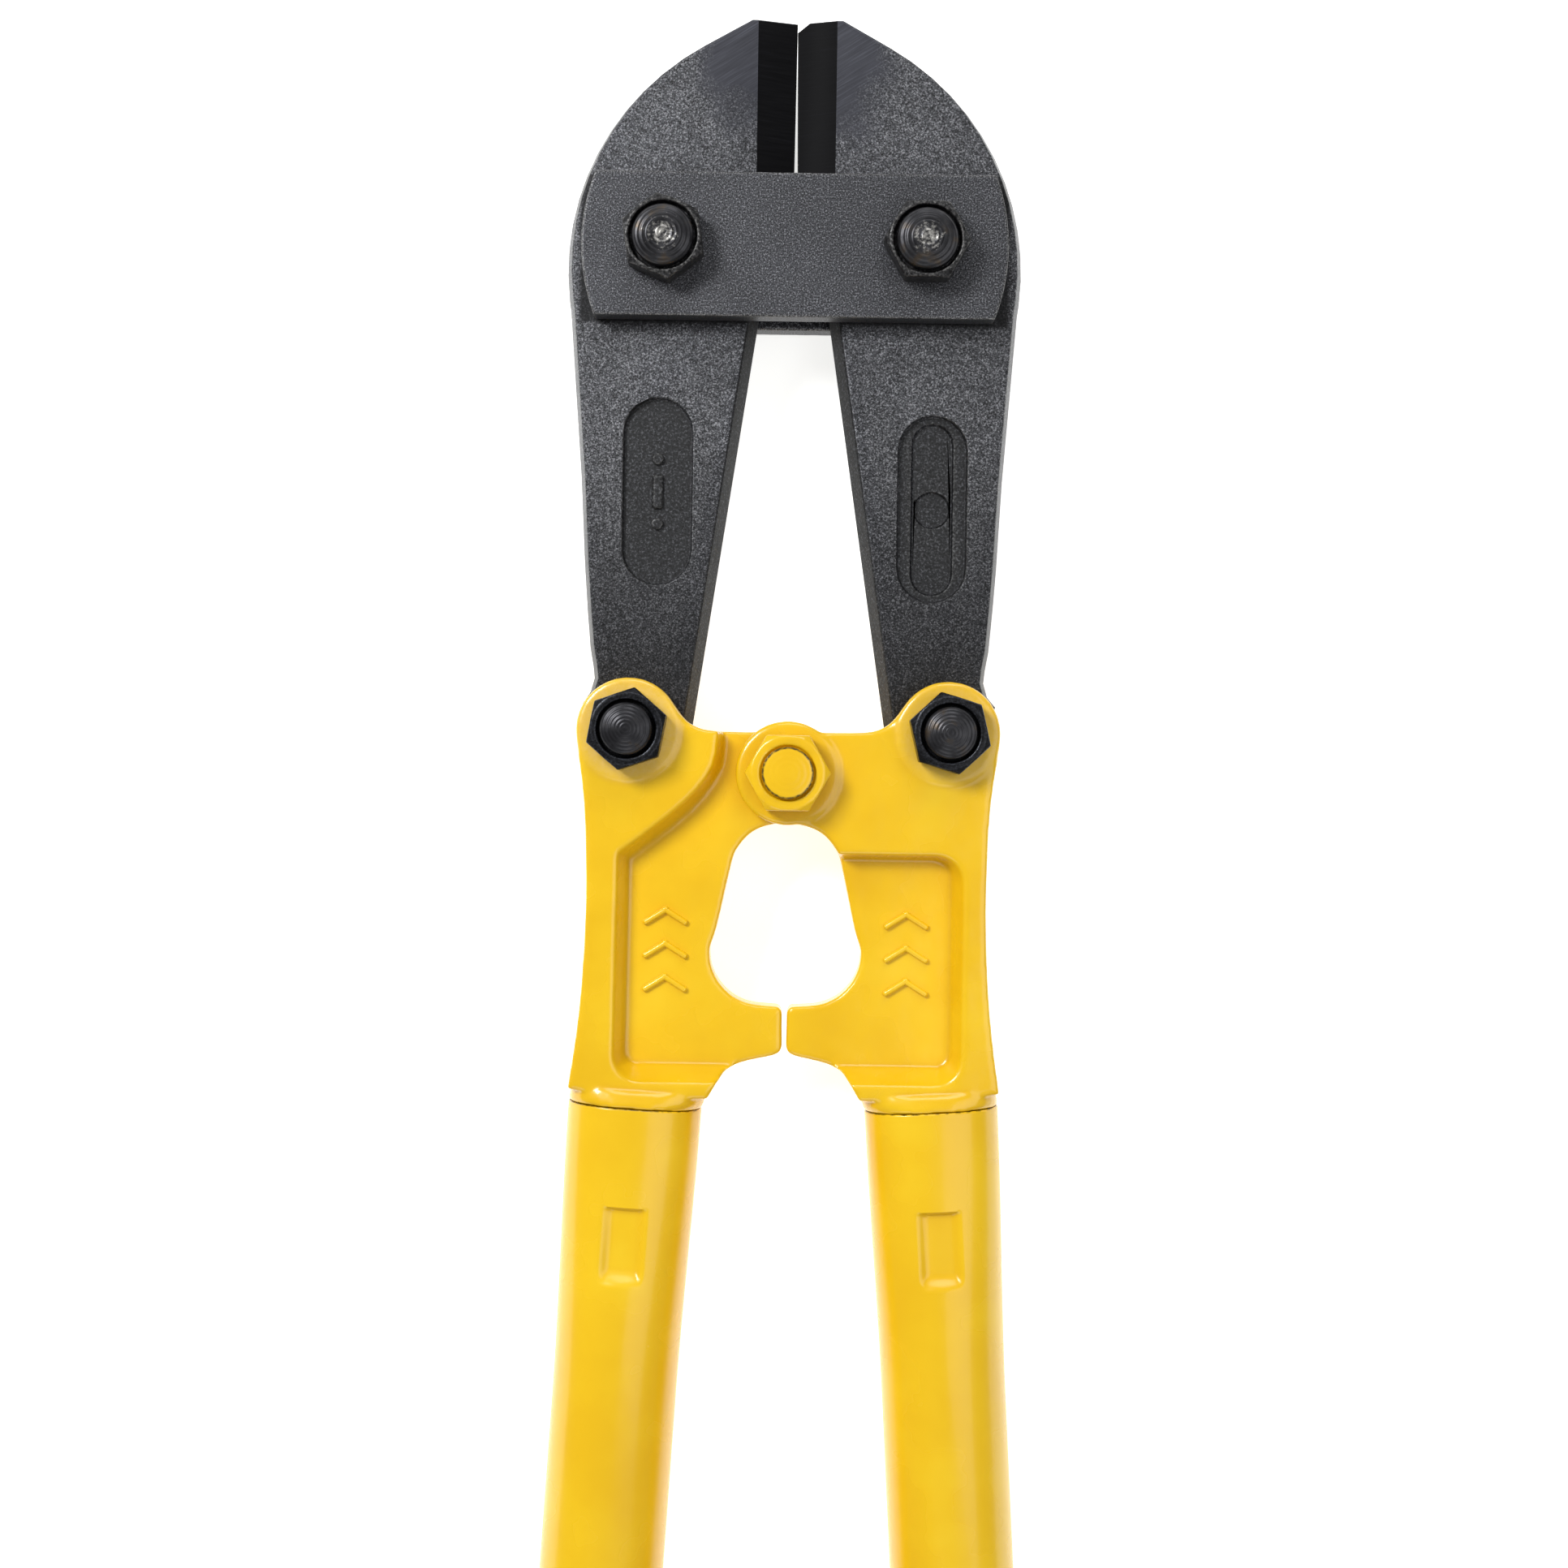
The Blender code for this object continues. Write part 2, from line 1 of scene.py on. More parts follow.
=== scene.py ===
import bpy
import math
import numpy as np
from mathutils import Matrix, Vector


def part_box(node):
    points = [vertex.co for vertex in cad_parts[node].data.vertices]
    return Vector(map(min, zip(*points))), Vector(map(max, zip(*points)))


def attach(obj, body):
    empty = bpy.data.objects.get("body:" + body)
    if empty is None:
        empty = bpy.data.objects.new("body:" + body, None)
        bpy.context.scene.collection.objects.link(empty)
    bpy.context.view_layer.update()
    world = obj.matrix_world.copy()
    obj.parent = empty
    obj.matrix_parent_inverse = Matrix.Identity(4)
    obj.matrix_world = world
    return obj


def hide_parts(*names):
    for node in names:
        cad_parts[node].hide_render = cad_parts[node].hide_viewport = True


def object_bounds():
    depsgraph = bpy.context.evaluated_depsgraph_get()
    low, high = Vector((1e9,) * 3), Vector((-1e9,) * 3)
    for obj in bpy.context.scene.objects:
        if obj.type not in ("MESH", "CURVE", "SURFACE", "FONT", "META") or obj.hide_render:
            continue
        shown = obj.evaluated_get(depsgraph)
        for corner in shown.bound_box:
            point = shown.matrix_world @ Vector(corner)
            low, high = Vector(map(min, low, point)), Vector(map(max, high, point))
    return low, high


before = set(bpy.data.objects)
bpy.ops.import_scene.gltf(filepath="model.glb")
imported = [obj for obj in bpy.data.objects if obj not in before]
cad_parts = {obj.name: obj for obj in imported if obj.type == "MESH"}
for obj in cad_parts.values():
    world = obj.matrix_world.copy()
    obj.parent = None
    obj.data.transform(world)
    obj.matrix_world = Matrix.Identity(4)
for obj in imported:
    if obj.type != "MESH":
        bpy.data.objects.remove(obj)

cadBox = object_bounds()
mm = 0.001
tau = 2 * math.pi
sides = {"left": -1, "right": 1}


# places, read from the frame

def middleOf(node):
    low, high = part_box(node)
    return (low + high) / 2


centreBolt = middleOf("centre_nut")
planeZ = middleOf("blade_left").z        # middle plane of the tool
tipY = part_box("blade_left")[1].y         # jaw tips


def place(x, y, z=0):
    # millimetres from the centre bolt and the middle plane, as a place in the frame
    return Vector((centreBolt.x + x * mm, centreBolt.y + y * mm, planeZ + z * mm))


# hand tools: the few steps that every piece repeats

def letGo():
    if bpy.context.object and bpy.context.object.mode != "OBJECT":
        bpy.ops.object.mode_set(mode="OBJECT")
    bpy.ops.object.select_all(action="DESELECT")


def pickUp(piece):
    letGo()
    piece.select_set(True)
    bpy.context.view_layer.objects.active = piece


def named(name):
    piece = bpy.context.object
    piece.name = name
    piece.data.name = name
    return piece


def openUp(piece, mode="FACE"):
    pickUp(piece)
    bpy.ops.object.mode_set(mode="EDIT")
    bpy.ops.mesh.select_mode(type=mode)
    bpy.ops.mesh.select_all(action="DESELECT")


def closeUp():
    bpy.ops.object.mode_set(mode="OBJECT")


def paintFaces(piece, index, test):
    # gives the faces whose middle and normal pass the test another of the piece's finishes
    openUp(piece)
    closeUp()
    for face in piece.data.polygons:
        face.select = test(face.center, face.normal)
    bpy.ops.object.mode_set(mode="EDIT")
    piece.active_material_index = index
    bpy.ops.object.material_slot_assign()
    closeUp()


def tidyMesh(piece):
    openUp(piece, "VERT")
    bpy.ops.mesh.select_all(action="SELECT")
    bpy.ops.mesh.remove_doubles(threshold=0.002 * mm)
    bpy.ops.mesh.normals_make_consistent(inside=False)
    closeUp()


def useModifier(piece, kind, **settings):
    pickUp(piece)
    modifier = piece.modifiers.new(kind.lower(), kind)
    for key, value in settings.items():
        setattr(modifier, key, value)
    bpy.ops.object.modifier_apply(modifier=modifier.name)


def carve(piece, tool, how="DIFFERENCE"):
    useModifier(piece, "BOOLEAN", operation=how, solver="EXACT", object=tool)
    bpy.data.objects.remove(tool)


def setDown(piece, where=None, turn=0.0):
    # moves a piece made at the origin to its place and leaves its object unturned at the origin
    pickUp(piece)
    if where is not None:
        piece.location = where
    piece.rotation_euler.z = turn
    bpy.ops.object.transform_apply(location=True, rotation=True, scale=True)


def copyNode(node, name):
    # a copy of a frame node, its loose triangles merged
    letGo()
    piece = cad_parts[node].copy()
    piece.data = piece.data.copy()
    bpy.context.scene.collection.objects.link(piece)
    for key in list(piece.keys()):
        del piece[key]
    piece.parent = None
    piece.name = name
    piece.data.name = name
    tidyMesh(piece)
    return piece


def pointsOf(piece):
    points = np.empty(len(piece.data.vertices) * 3, np.float32)
    piece.data.vertices.foreach_get("co", points)
    return points.reshape(-1, 3).astype(float)


def movePoints(piece, points):
    piece.data.vertices.foreach_set("co", points.astype(np.float32).ravel())
    piece.data.update()


def giveValue(piece, name, values):
    found = piece.data.attributes.get(name) or piece.data.attributes.new(name, "FLOAT", "POINT")
    found.data.foreach_set("value", values.astype(np.float32))


def markEdges(piece, radius, least=0.0):
    # edge is 1 where the surface bends outwards as tightly as this radius, and hollow where it bends inwards;
    # bends under the least share count as flat
    mesh = piece.data
    points = pointsOf(piece)
    normals = np.empty(len(points) * 3, np.float32)
    mesh.vertex_normals.foreach_get("vector", normals)
    normals = normals.reshape(-1, 3)
    ends = np.empty(len(mesh.edges) * 2, np.int32)
    mesh.edges.foreach_get("vertices", ends)
    first, second = ends.reshape(-1, 2).T
    along = points[second] - points[first]
    length = np.maximum(np.linalg.norm(along, axis=1), 1e-7)
    bend = np.sum((normals[second] - normals[first]) * along, axis=1) / length ** 2
    weight = 1 / length
    total = np.zeros(len(points))
    count = np.full(len(points), 1e-9)
    for end in (first, second):
        np.add.at(total, end, bend * weight)
        np.add.at(count, end, weight)
    bend = total / count * radius
    giveValue(piece, "edge", np.clip((bend - least) / (1 - least), 0, 1))
    giveValue(piece, "hollow", np.clip((-bend - least) / (1 - least), 0, 1))


def smoothStep(values):
    values = np.clip(values, 0, 1)
    return values * values * (3 - 2 * values)


def roughen(piece, size, height):
    # real unevenness of the surface: size is the distance between bumps
    bumps = bpy.data.textures.new(piece.name + "Bumps", "CLOUDS")
    bumps.noise_scale = size
    useModifier(piece, "DISPLACE", texture=bumps, texture_coords="GLOBAL", strength=height, mid_level=0.5)


def shadeRound(piece, angle=35):
    pickUp(piece)
    bpy.ops.object.shade_smooth_by_angle(angle=math.radians(angle))


def handIn(piece, body, node, slot, *finishes):
    # gives a finished piece its finish and its body, and hides the node that it stands for
    piece.data.materials.clear()
    for finish in finishes:
        piece.data.materials.append(finish)
    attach(piece, body)
    if node:
        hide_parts(node)


# finishes

def hexColour(code):
    # an sRGB hex colour as a linear one
    parts = [int(code[i:i + 2], 16) / 255 for i in (1, 3, 5)]
    linear = [part / 12.92 if part <= 0.04045 else ((part + 0.055) / 1.055) ** 2.4 for part in parts]
    return (*linear, 1)


def addNode(tree, kind, settings=None, links=None):
    made = tree.nodes.new(kind)
    for key, value in (settings or {}).items():
        if isinstance(key, int) or key in made.inputs:
            made.inputs[key].default_value = value
        else:
            setattr(made, key, value)
    for key, source in (links or {}).items():
        tree.links.new(source, made.inputs[key])
    return made


def newFinish(name, colour, roughness, metallic=0.0, **constants):
    # a material with its shader, and the object's own coordinates to draw patterns with
    material = bpy.data.materials.new(name)
    material.use_nodes = True
    tree = material.node_tree
    shader = tree.nodes["Principled BSDF"]
    shader.inputs["Base Color"].default_value = hexColour(colour)
    shader.inputs["Roughness"].default_value = roughness
    shader.inputs["Metallic"].default_value = metallic
    for key, value in constants.items():
        shader.inputs[key.replace("_", " ")].default_value = value
    coordinates = addNode(tree, "ShaderNodeTexCoord").outputs["Object"]
    return material, tree, shader, coordinates


def perSize(size):
    # a pattern's scale, for coordinates in metres, from the size of its grains in millimetres
    return 1 / (size * mm)


def setStops(ramp, *stops):
    # the stops of a colour ramp, as (position, hex colour)
    elements = ramp.color_ramp.elements
    while len(elements) < len(stops):
        elements.new(1)
    for element, (position, colour) in zip(elements, stops):
        element.position = position
        element.color = hexColour(colour)


def blackSteel(name, look):
    # blackened steel with a grained surface; its colour carries painted light: the pits are painted dark as
    # painted shade, the tops of the grains painted bright as painted glints
    material, tree, shader, spot = newFinish(name, look["colour"], look["roughness"], look["metallic"])
    grain = addNode(tree, "ShaderNodeTexNoise",
                    {"Scale": perSize(look["grain"]), "Detail": 5.0, "Roughness": 0.72}, {"Vector": spot})
    patches = addNode(tree, "ShaderNodeTexNoise",
                      {"Scale": perSize(look["patch"]), "Detail": 4.0, "Roughness": 0.6}, {"Vector": spot})
    speckle = addNode(tree, "ShaderNodeValToRGB", links={"Fac": grain.outputs["Fac"]})
    setStops(speckle, (0.41, look["pitShade"]), (0.475, look["colour"]), (0.54, look["colour"]),
             (0.62, look["glint"]))
    cloudy = addNode(tree, "ShaderNodeMix", {"data_type": "RGBA", "blend_type": "MULTIPLY", 0: 0.5},
                     {6: speckle.outputs["Color"], 7: patches.outputs["Fac"]})
    lifted = addNode(tree, "ShaderNodeMix", {"data_type": "RGBA", "blend_type": "MULTIPLY", 0: 1.0,
                                             7: (1.35, 1.35, 1.35, 1)}, {6: cloudy.outputs[2]})
    edge = addNode(tree, "ShaderNodeAttribute", {"attribute_name": "edge"}).outputs["Fac"]
    rubbed = addNode(tree, "ShaderNodeMath", {"operation": "MULTIPLY_ADD", 1: 3.2, 2: -1.35},
                     {0: grain.outputs["Fac"]})
    worn = addNode(tree, "ShaderNodeMath", {"operation": "MULTIPLY", "use_clamp": True},
                   {0: rubbed.outputs[0], 1: edge})
    strength = addNode(tree, "ShaderNodeMath", {"operation": "MULTIPLY", 1: look["wear"]},
                       {0: worn.outputs[0]})
    colour = addNode(tree, "ShaderNodeMix", {"data_type": "RGBA", 7: hexColour(look["bare"])},
                     {0: strength.outputs[0], 6: lifted.outputs[2]})
    bump = addNode(tree, "ShaderNodeBump", {"Strength": 0.8, "Distance": look["depth"] * mm},
                   {"Height": grain.outputs["Fac"]})
    dull = addNode(tree, "ShaderNodeMapRange",
                   {"To Min": look["roughness"] - 0.1, "To Max": look["roughness"] + 0.12},
                   {"Value": patches.outputs["Fac"]})
    tree.links.new(colour.outputs[2], shader.inputs["Base Color"])
    tree.links.new(dull.outputs["Result"], shader.inputs["Roughness"])
    tree.links.new(bump.outputs["Normal"], shader.inputs["Normal"])
    return material, tree, shader, spot


def makeBlastedForging():
    # drop-forged alloy steel, shot-blasted and black-oxided: matt blue-grey with dense pits and bright grains
    # (painted shade and painted glints in its colour), ground smooth near the cutting edges, where fine
    # slanting scratches show
    look = {"colour": "#434448", "pitShade": "#131415", "glint": "#909196", "bare": "#A5A4A0", "roughness": 0.4,
            "metallic": 0.65, "grain": 0.45, "patch": 14, "depth": 0.1, "wear": 0.4}
    material, tree, shader, spot = blackSteel("blastedForging", look)
    colour = shader.inputs["Base Color"].links[0].from_socket
    bump = shader.inputs["Normal"].links[0].from_node

    # how much of the surface is ground away: near the jaw tips and beside the cutting bevels
    split = addNode(tree, "ShaderNodeSeparateXYZ", links={"Vector": spot})
    across = addNode(tree, "ShaderNodeMath", {"operation": "ABSOLUTE"}, {0: split.outputs["X"]})
    near = addNode(tree, "ShaderNodeMapRange", {"From Min": 34 * mm, "From Max": 9 * mm},
                   {"Value": across.outputs[0]})
    high = addNode(tree, "ShaderNodeMapRange", {"From Min": tipY - 44 * mm, "From Max": tipY - 14 * mm},
                   {"Value": split.outputs["Y"]})
    uneven = addNode(tree, "ShaderNodeTexNoise", {"Scale": perSize(14), "Detail": 4.0}, {"Vector": spot})
    both = addNode(tree, "ShaderNodeMath", {"operation": "MULTIPLY"},
                   {0: near.outputs[0], 1: high.outputs[0]})
    ragged = addNode(tree, "ShaderNodeMath", {"operation": "ADD"},
                     {0: both.outputs[0], 1: uneven.outputs["Fac"]})
    ground = addNode(tree, "ShaderNodeMapRange", {"From Min": 0.78, "From Max": 1.15},
                     {"Value": ragged.outputs[0]})

    # the grinder's scratches
    slanted = addNode(tree, "ShaderNodeMapping",
                      {"vector_type": "TEXTURE", "Rotation": (0, 0, math.radians(-58)), "Scale": (1, 25, 1)},
                      {"Vector": spot})
    scratches = addNode(tree, "ShaderNodeTexNoise", {"Scale": perSize(0.4), "Detail": 3.0},
                        {"Vector": slanted.outputs["Vector"]})
    scratchTone = addNode(tree, "ShaderNodeValToRGB", links={"Fac": scratches.outputs["Fac"]})
    setStops(scratchTone, (0.3, "#36373D"), (0.55, "#3F4047"), (0.8, "#50525A"))
    mixed = addNode(tree, "ShaderNodeMix", {"data_type": "RGBA"},
                    {0: ground.outputs[0], 6: colour, 7: scratchTone.outputs["Color"]})

    # painted shadow: the blade is darkened along the edges of the strap plate, where the plate's shadow falls
    low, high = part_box("strap_plate_front")
    beyond = []
    for index, axis in enumerate("XY"):
        middle, half = (low[index] + high[index]) / 2, (high[index] - low[index]) / 2
        shifted = addNode(tree, "ShaderNodeMath", {"operation": "SUBTRACT", 1: middle},
                          {0: split.outputs[axis]})
        folded = addNode(tree, "ShaderNodeMath", {"operation": "ABSOLUTE"}, {0: shifted.outputs[0]})
        beyond.append(addNode(tree, "ShaderNodeMath", {"operation": "SUBTRACT", 1: half},
                              {0: folded.outputs[0]}))
    reach = addNode(tree, "ShaderNodeMath", {"operation": "MAXIMUM"},
                    {0: beyond[0].outputs[0], 1: beyond[1].outputs[0]})
    plateShadow = addNode(tree, "ShaderNodeMapRange", {"From Min": 1.5 * mm, "From Max": 0.2 * mm, "To Max": 0.85},
                   {"Value": reach.outputs[0]})
    plateShaded = addNode(tree, "ShaderNodeMix", {"data_type": "RGBA", 7: hexColour("#0B0B0C")},
                    {0: plateShadow.outputs[0], 6: mixed.outputs[2]})

    # painted shade: the oxide is darkened low on the arms, towards the centre bolt
    armShade = addNode(tree, "ShaderNodeMapRange",
                     {"From Min": centreBolt.y + 22 * mm, "From Max": centreBolt.y + 88 * mm, "To Min": 0.3},
                     {"Value": split.outputs["Y"]})
    armShaded = addNode(tree, "ShaderNodeMix", {"data_type": "RGBA", "blend_type": "MULTIPLY", 0: 1.0},
                       {6: plateShaded.outputs[2], 7: armShade.outputs[0]})
    tree.links.new(armShaded.outputs[2], shader.inputs["Base Color"])
    height = addNode(tree, "ShaderNodeMix", {"data_type": "FLOAT"},
                     {0: ground.outputs[0], 2: bump.inputs["Height"].links[0].from_socket,
                      3: scratches.outputs["Fac"]})
    tree.links.new(height.outputs[0], bump.inputs["Height"])
    softer = addNode(tree, "ShaderNodeMapRange", {"To Min": 0.8, "To Max": 0.12},
                     {"Value": ground.outputs[0]})
    tree.links.new(softer.outputs[0], bump.inputs["Strength"])
    return material


def makeGroundEdge():
    # hardened steel ground to an edge and blackened: almost black, with faint streaks across the edge
    material, tree, shader, spot = newFinish("groundEdge", "#0C0C0E", 0.6, 0.0, Specular_IOR_Level=0.08)
    drawn = addNode(tree, "ShaderNodeMapping", {"Scale": (0.05, 1, 0.05)}, {"Vector": spot})
    streaks = addNode(tree, "ShaderNodeTexNoise", {"Scale": perSize(0.5), "Detail": 4.0},
                      {"Vector": drawn.outputs["Vector"]})
    tone = addNode(tree, "ShaderNodeValToRGB", links={"Fac": streaks.outputs["Fac"]})
    setStops(tone, (0.35, "#08080A"), (0.62, "#0E0E10"), (0.8, "#16161A"))
    bump = addNode(tree, "ShaderNodeBump", {"Strength": 0.25, "Distance": 0.03 * mm},
                   {"Height": streaks.outputs["Fac"]})
    dull = addNode(tree, "ShaderNodeMapRange", {"To Min": 0.52, "To Max": 0.7},
                   {"Value": streaks.outputs["Fac"]})
    tree.links.new(tone.outputs["Color"], shader.inputs["Base Color"])
    tree.links.new(bump.outputs["Normal"], shader.inputs["Normal"])
    tree.links.new(dull.outputs["Result"], shader.inputs["Roughness"])
    return material


def makeShadedForging():
    # the same forging, painted darker in the recesses and on the arms' inner faces: painted shade
    look = {"colour": "#1F2022", "pitShade": "#0A0A0B", "glint": "#4E4F53", "bare": "#8C8B88", "roughness": 0.5,
            "metallic": 0.4, "grain": 0.6, "patch": 9, "depth": 0.08, "wear": 0.7}
    return blackSteel("shadedForging", look)[0]


def makePeenedPlate():
    # rolled steel plate, peened and black-oxided: darker and more evenly grained than the forgings
    look = {"colour": "#3A3B3F", "pitShade": "#0A0A0C", "glint": "#8A8B90", "bare": "#A8A7A3", "roughness": 0.42,
            "metallic": 0.6, "grain": 0.4, "patch": 18, "depth": 0.1, "wear": 0.6}
    return blackSteel("peenedPlate", look)[0]


def makeWornOxide():
    # black-oxided nuts and bolt heads, dark and pitted, rubbed bright on the corners by wrenches
    look = {"colour": "#2B2B2D", "pitShade": "#0C0C0D", "glint": "#5C5C5E", "bare": "#7E7C77", "roughness": 0.42,
            "metallic": 0.7, "grain": 0.7, "patch": 5, "depth": 0.07, "wear": 0.45}
    return blackSteel("wornOxide", look)[0]


def makeSatinOxide():
    # newer black-oxided nuts: satin black, with a bluish sheen painted on their chamfers as a painted
    # highlight
    look = {"colour": "#1C1D20", "pitShade": "#101012", "glint": "#2E2F34", "bare": "#5A5E68", "roughness": 0.34,
            "metallic": 0.75, "grain": 0.5, "patch": 6, "depth": 0.025, "wear": 0.5}
    return blackSteel("satinOxide", look)[0]


def makeTurnedEnd():
    # bolt ends turned on a lathe and blackened: rings in the metal, rubbed to bare steel towards the middle,
    # and that bright middle is also a painted highlight
    material, tree, shader, spot = newFinish("turnedEnd", "#1E1E20", 0.33, 0.75)
    specks = addNode(tree, "ShaderNodeTexNoise", {"Scale": perSize(1.1), "Detail": 5.0, "Roughness": 0.7},
                     {"Vector": spot})
    stains = addNode(tree, "ShaderNodeTexNoise", {"Scale": perSize(4.5), "Detail": 3.0}, {"Vector": spot})
    rubbed = addNode(tree, "ShaderNodeAttribute", {"attribute_name": "rubbed"}).outputs["Fac"]
    raised = addNode(tree, "ShaderNodeMath", {"operation": "MULTIPLY_ADD", 1: 0.42},
                     {0: rubbed, 2: specks.outputs["Fac"]})
    bright = addNode(tree, "ShaderNodeMapRange", {"From Min": 0.8, "From Max": 1.04},
                     {"Value": raised.outputs[0]})
    stained = addNode(tree, "ShaderNodeValToRGB", links={"Fac": stains.outputs["Fac"]})
    setStops(stained, (0.4, "#2A2A2D"), (0.58, "#3A3A3D"), (0.7, "#453D35"))
    colour = addNode(tree, "ShaderNodeMix", {"data_type": "RGBA", 7: hexColour("#B9B7B2")},
                     {0: bright.outputs[0], 6: stained.outputs["Color"]})
    bump = addNode(tree, "ShaderNodeBump", {"Strength": 0.6, "Distance": 0.05 * mm},
                   {"Height": specks.outputs["Fac"]})
    tree.links.new(colour.outputs[2], shader.inputs["Base Color"])
    tree.links.new(bump.outputs["Normal"], shader.inputs["Normal"])
    return material


def makeEnamel(name, look):
    # solvent enamel sprayed over steel: a thick glossy yellow skin that rounds the edges, with a slight
    # orange peel; it cracks where two pieces meet, and it is painted darker in the corners as painted shade
    # and paler round the link nuts as a painted reflection
    material, tree, shader, spot = newFinish(name, look["colour"], 0.26, 0.0, Coat_Weight=look["gloss"],
                                              Coat_Roughness=0.07)
    cloud = addNode(tree, "ShaderNodeTexNoise", {"Scale": perSize(24), "Detail": 3.0}, {"Vector": spot})
    wave = addNode(tree, "ShaderNodeTexNoise", {"Scale": perSize(look["wave"]), "Detail": 2.0},
                   {"Vector": spot})
    peel = addNode(tree, "ShaderNodeTexNoise", {"Scale": perSize(look["peel"]), "Detail": 3.0},
                   {"Vector": spot})
    flake = addNode(tree, "ShaderNodeTexNoise", {"Scale": perSize(0.9), "Detail": 4.0}, {"Vector": spot})
    coats = addNode(tree, "ShaderNodeValToRGB", links={"Fac": cloud.outputs["Fac"]})
    setStops(coats, (0.3, look["shade"]), (0.55, look["colour"]), (0.75, look["tint"]))

    # each mark on the paint: the surface value that carries it, its colour, its strength and how broken up;
    # the hollow corners carry painted shade, the ear round the link nut a painted reflection, and the seams
    # real cracks
    overlays = [("hollow", look["cornerShade"], 0.5, 0.3), ("nutReflection", "#F4CC74", 0.8, 0.9),
             ("crack", "#4A3810", 1.0, 1.6)]
    colour = coats.outputs["Color"]
    for attribute, tone, strength, broken in overlays:
        value = addNode(tree, "ShaderNodeAttribute", {"attribute_name": attribute}).outputs["Fac"]
        torn = addNode(tree, "ShaderNodeMath", {"operation": "MULTIPLY_ADD", 1: broken * 2, 2: -broken},
                       {0: flake.outputs["Fac"]})
        eaten = addNode(tree, "ShaderNodeMath", {"operation": "MULTIPLY_ADD"},
                        {0: torn.outputs[0], 1: value, 2: value})
        amount = addNode(tree, "ShaderNodeMath", {"operation": "MULTIPLY", "use_clamp": True, 1: strength},
                         {0: eaten.outputs[0]})
        colour = addNode(tree, "ShaderNodeMix", {"data_type": "RGBA", 7: hexColour(tone)},
                         {0: amount.outputs[0], 6: colour}).outputs[2]
    waved = addNode(tree, "ShaderNodeBump", {"Strength": 1.0, "Distance": look["waveDepth"] * mm},
                    {"Height": wave.outputs["Fac"]})
    peeled = addNode(tree, "ShaderNodeBump", {"Strength": 1.0, "Distance": look["peelDepth"] * mm},
                     {"Height": peel.outputs["Fac"], "Normal": waved.outputs["Normal"]})
    dull = addNode(tree, "ShaderNodeMapRange", {"To Min": 0.2, "To Max": 0.34},
                   {"Value": cloud.outputs["Fac"]})
    tree.links.new(colour, shader.inputs["Base Color"])
    tree.links.new(peeled.outputs["Normal"], shader.inputs["Normal"])
    tree.links.new(dull.outputs["Result"], shader.inputs["Roughness"])
    return material


def makeVinyl():
    # dip-moulded black PVC: soft, matt, with a fine leathery grain that holds a little dust
    material, tree, shader, spot = newFinish("dippedVinyl", "#1B1B1C", 0.6)
    pores = addNode(tree, "ShaderNodeTexVoronoi", {"Scale": perSize(0.8)}, {"Vector": spot})
    dust = addNode(tree, "ShaderNodeTexNoise", {"Scale": perSize(9), "Detail": 5.0}, {"Vector": spot})
    tone = addNode(tree, "ShaderNodeValToRGB", links={"Fac": dust.outputs["Fac"]})
    setStops(tone, (0.35, "#161617"), (0.6, "#1F1F20"), (0.8, "#303031"))
    bump = addNode(tree, "ShaderNodeBump", {"Strength": 0.5, "Distance": 0.08 * mm},
                   {"Height": pores.outputs["Distance"]})
    dull = addNode(tree, "ShaderNodeMapRange", {"To Min": 0.5, "To Max": 0.72},
                   {"Value": dust.outputs["Fac"]})
    tree.links.new(tone.outputs["Color"], shader.inputs["Base Color"])
    tree.links.new(bump.outputs["Normal"], shader.inputs["Normal"])
    tree.links.new(dull.outputs["Result"], shader.inputs["Roughness"])
    return material


print("mixing the finishes")
blastedForging = makeBlastedForging()
shadedForging = makeShadedForging()
groundEdge = makeGroundEdge()
peenedPlate = makePeenedPlate()
wornOxide = makeWornOxide()
satinOxide = makeSatinOxide()
turnedEnd = makeTurnedEnd()
# the darker corner colour of each enamel is painted shade
castEnamel = makeEnamel("castEnamel", {
    "colour": "#EDBF10", "shade": "#E6B50B", "tint": "#F0C61B", "cornerShade": "#CF970A", "gloss": 0.35,
    "wave": 7, "waveDepth": 0.2, "peel": 1.3, "peelDepth": 0.02})
tubeEnamel = makeEnamel("tubeEnamel", {
    "colour": "#EEC114", "shade": "#E9B911", "tint": "#F2C91E", "cornerShade": "#CF970A", "gloss": 0.18,
    "wave": 15, "waveDepth": 0.08, "peel": 1.6, "peelDepth": 0.012})
dippedVinyl = makeVinyl()


# shapes shared by several pieces

def turnOnLathe(name, profile, steps=96):
    # profile: (radius, height) pairs in metres, in order; turned about the upright axis
    letGo()
    bpy.ops.mesh.primitive_plane_add(size=mm)
    piece = named(name)
    bpy.ops.object.mode_set(mode="EDIT")
    bpy.ops.mesh.select_mode(type="VERT")
    bpy.ops.mesh.merge(type="CENTER")
    start = Vector((profile[0][0], 0, profile[0][1]))
    bpy.ops.transform.translate(value=start)
    for radius, height in profile[1:]:
        end = Vector((radius, 0, height))
        bpy.ops.mesh.extrude_vertices_move(TRANSFORM_OT_translate={"value": end - start})
        start = end
    bpy.ops.mesh.select_all(action="SELECT")
    bpy.ops.mesh.spin(steps=steps, angle=tau, center=(0, 0, 0), axis=(0, 0, 1))
    closeUp()
    tidyMesh(piece)
    return piece


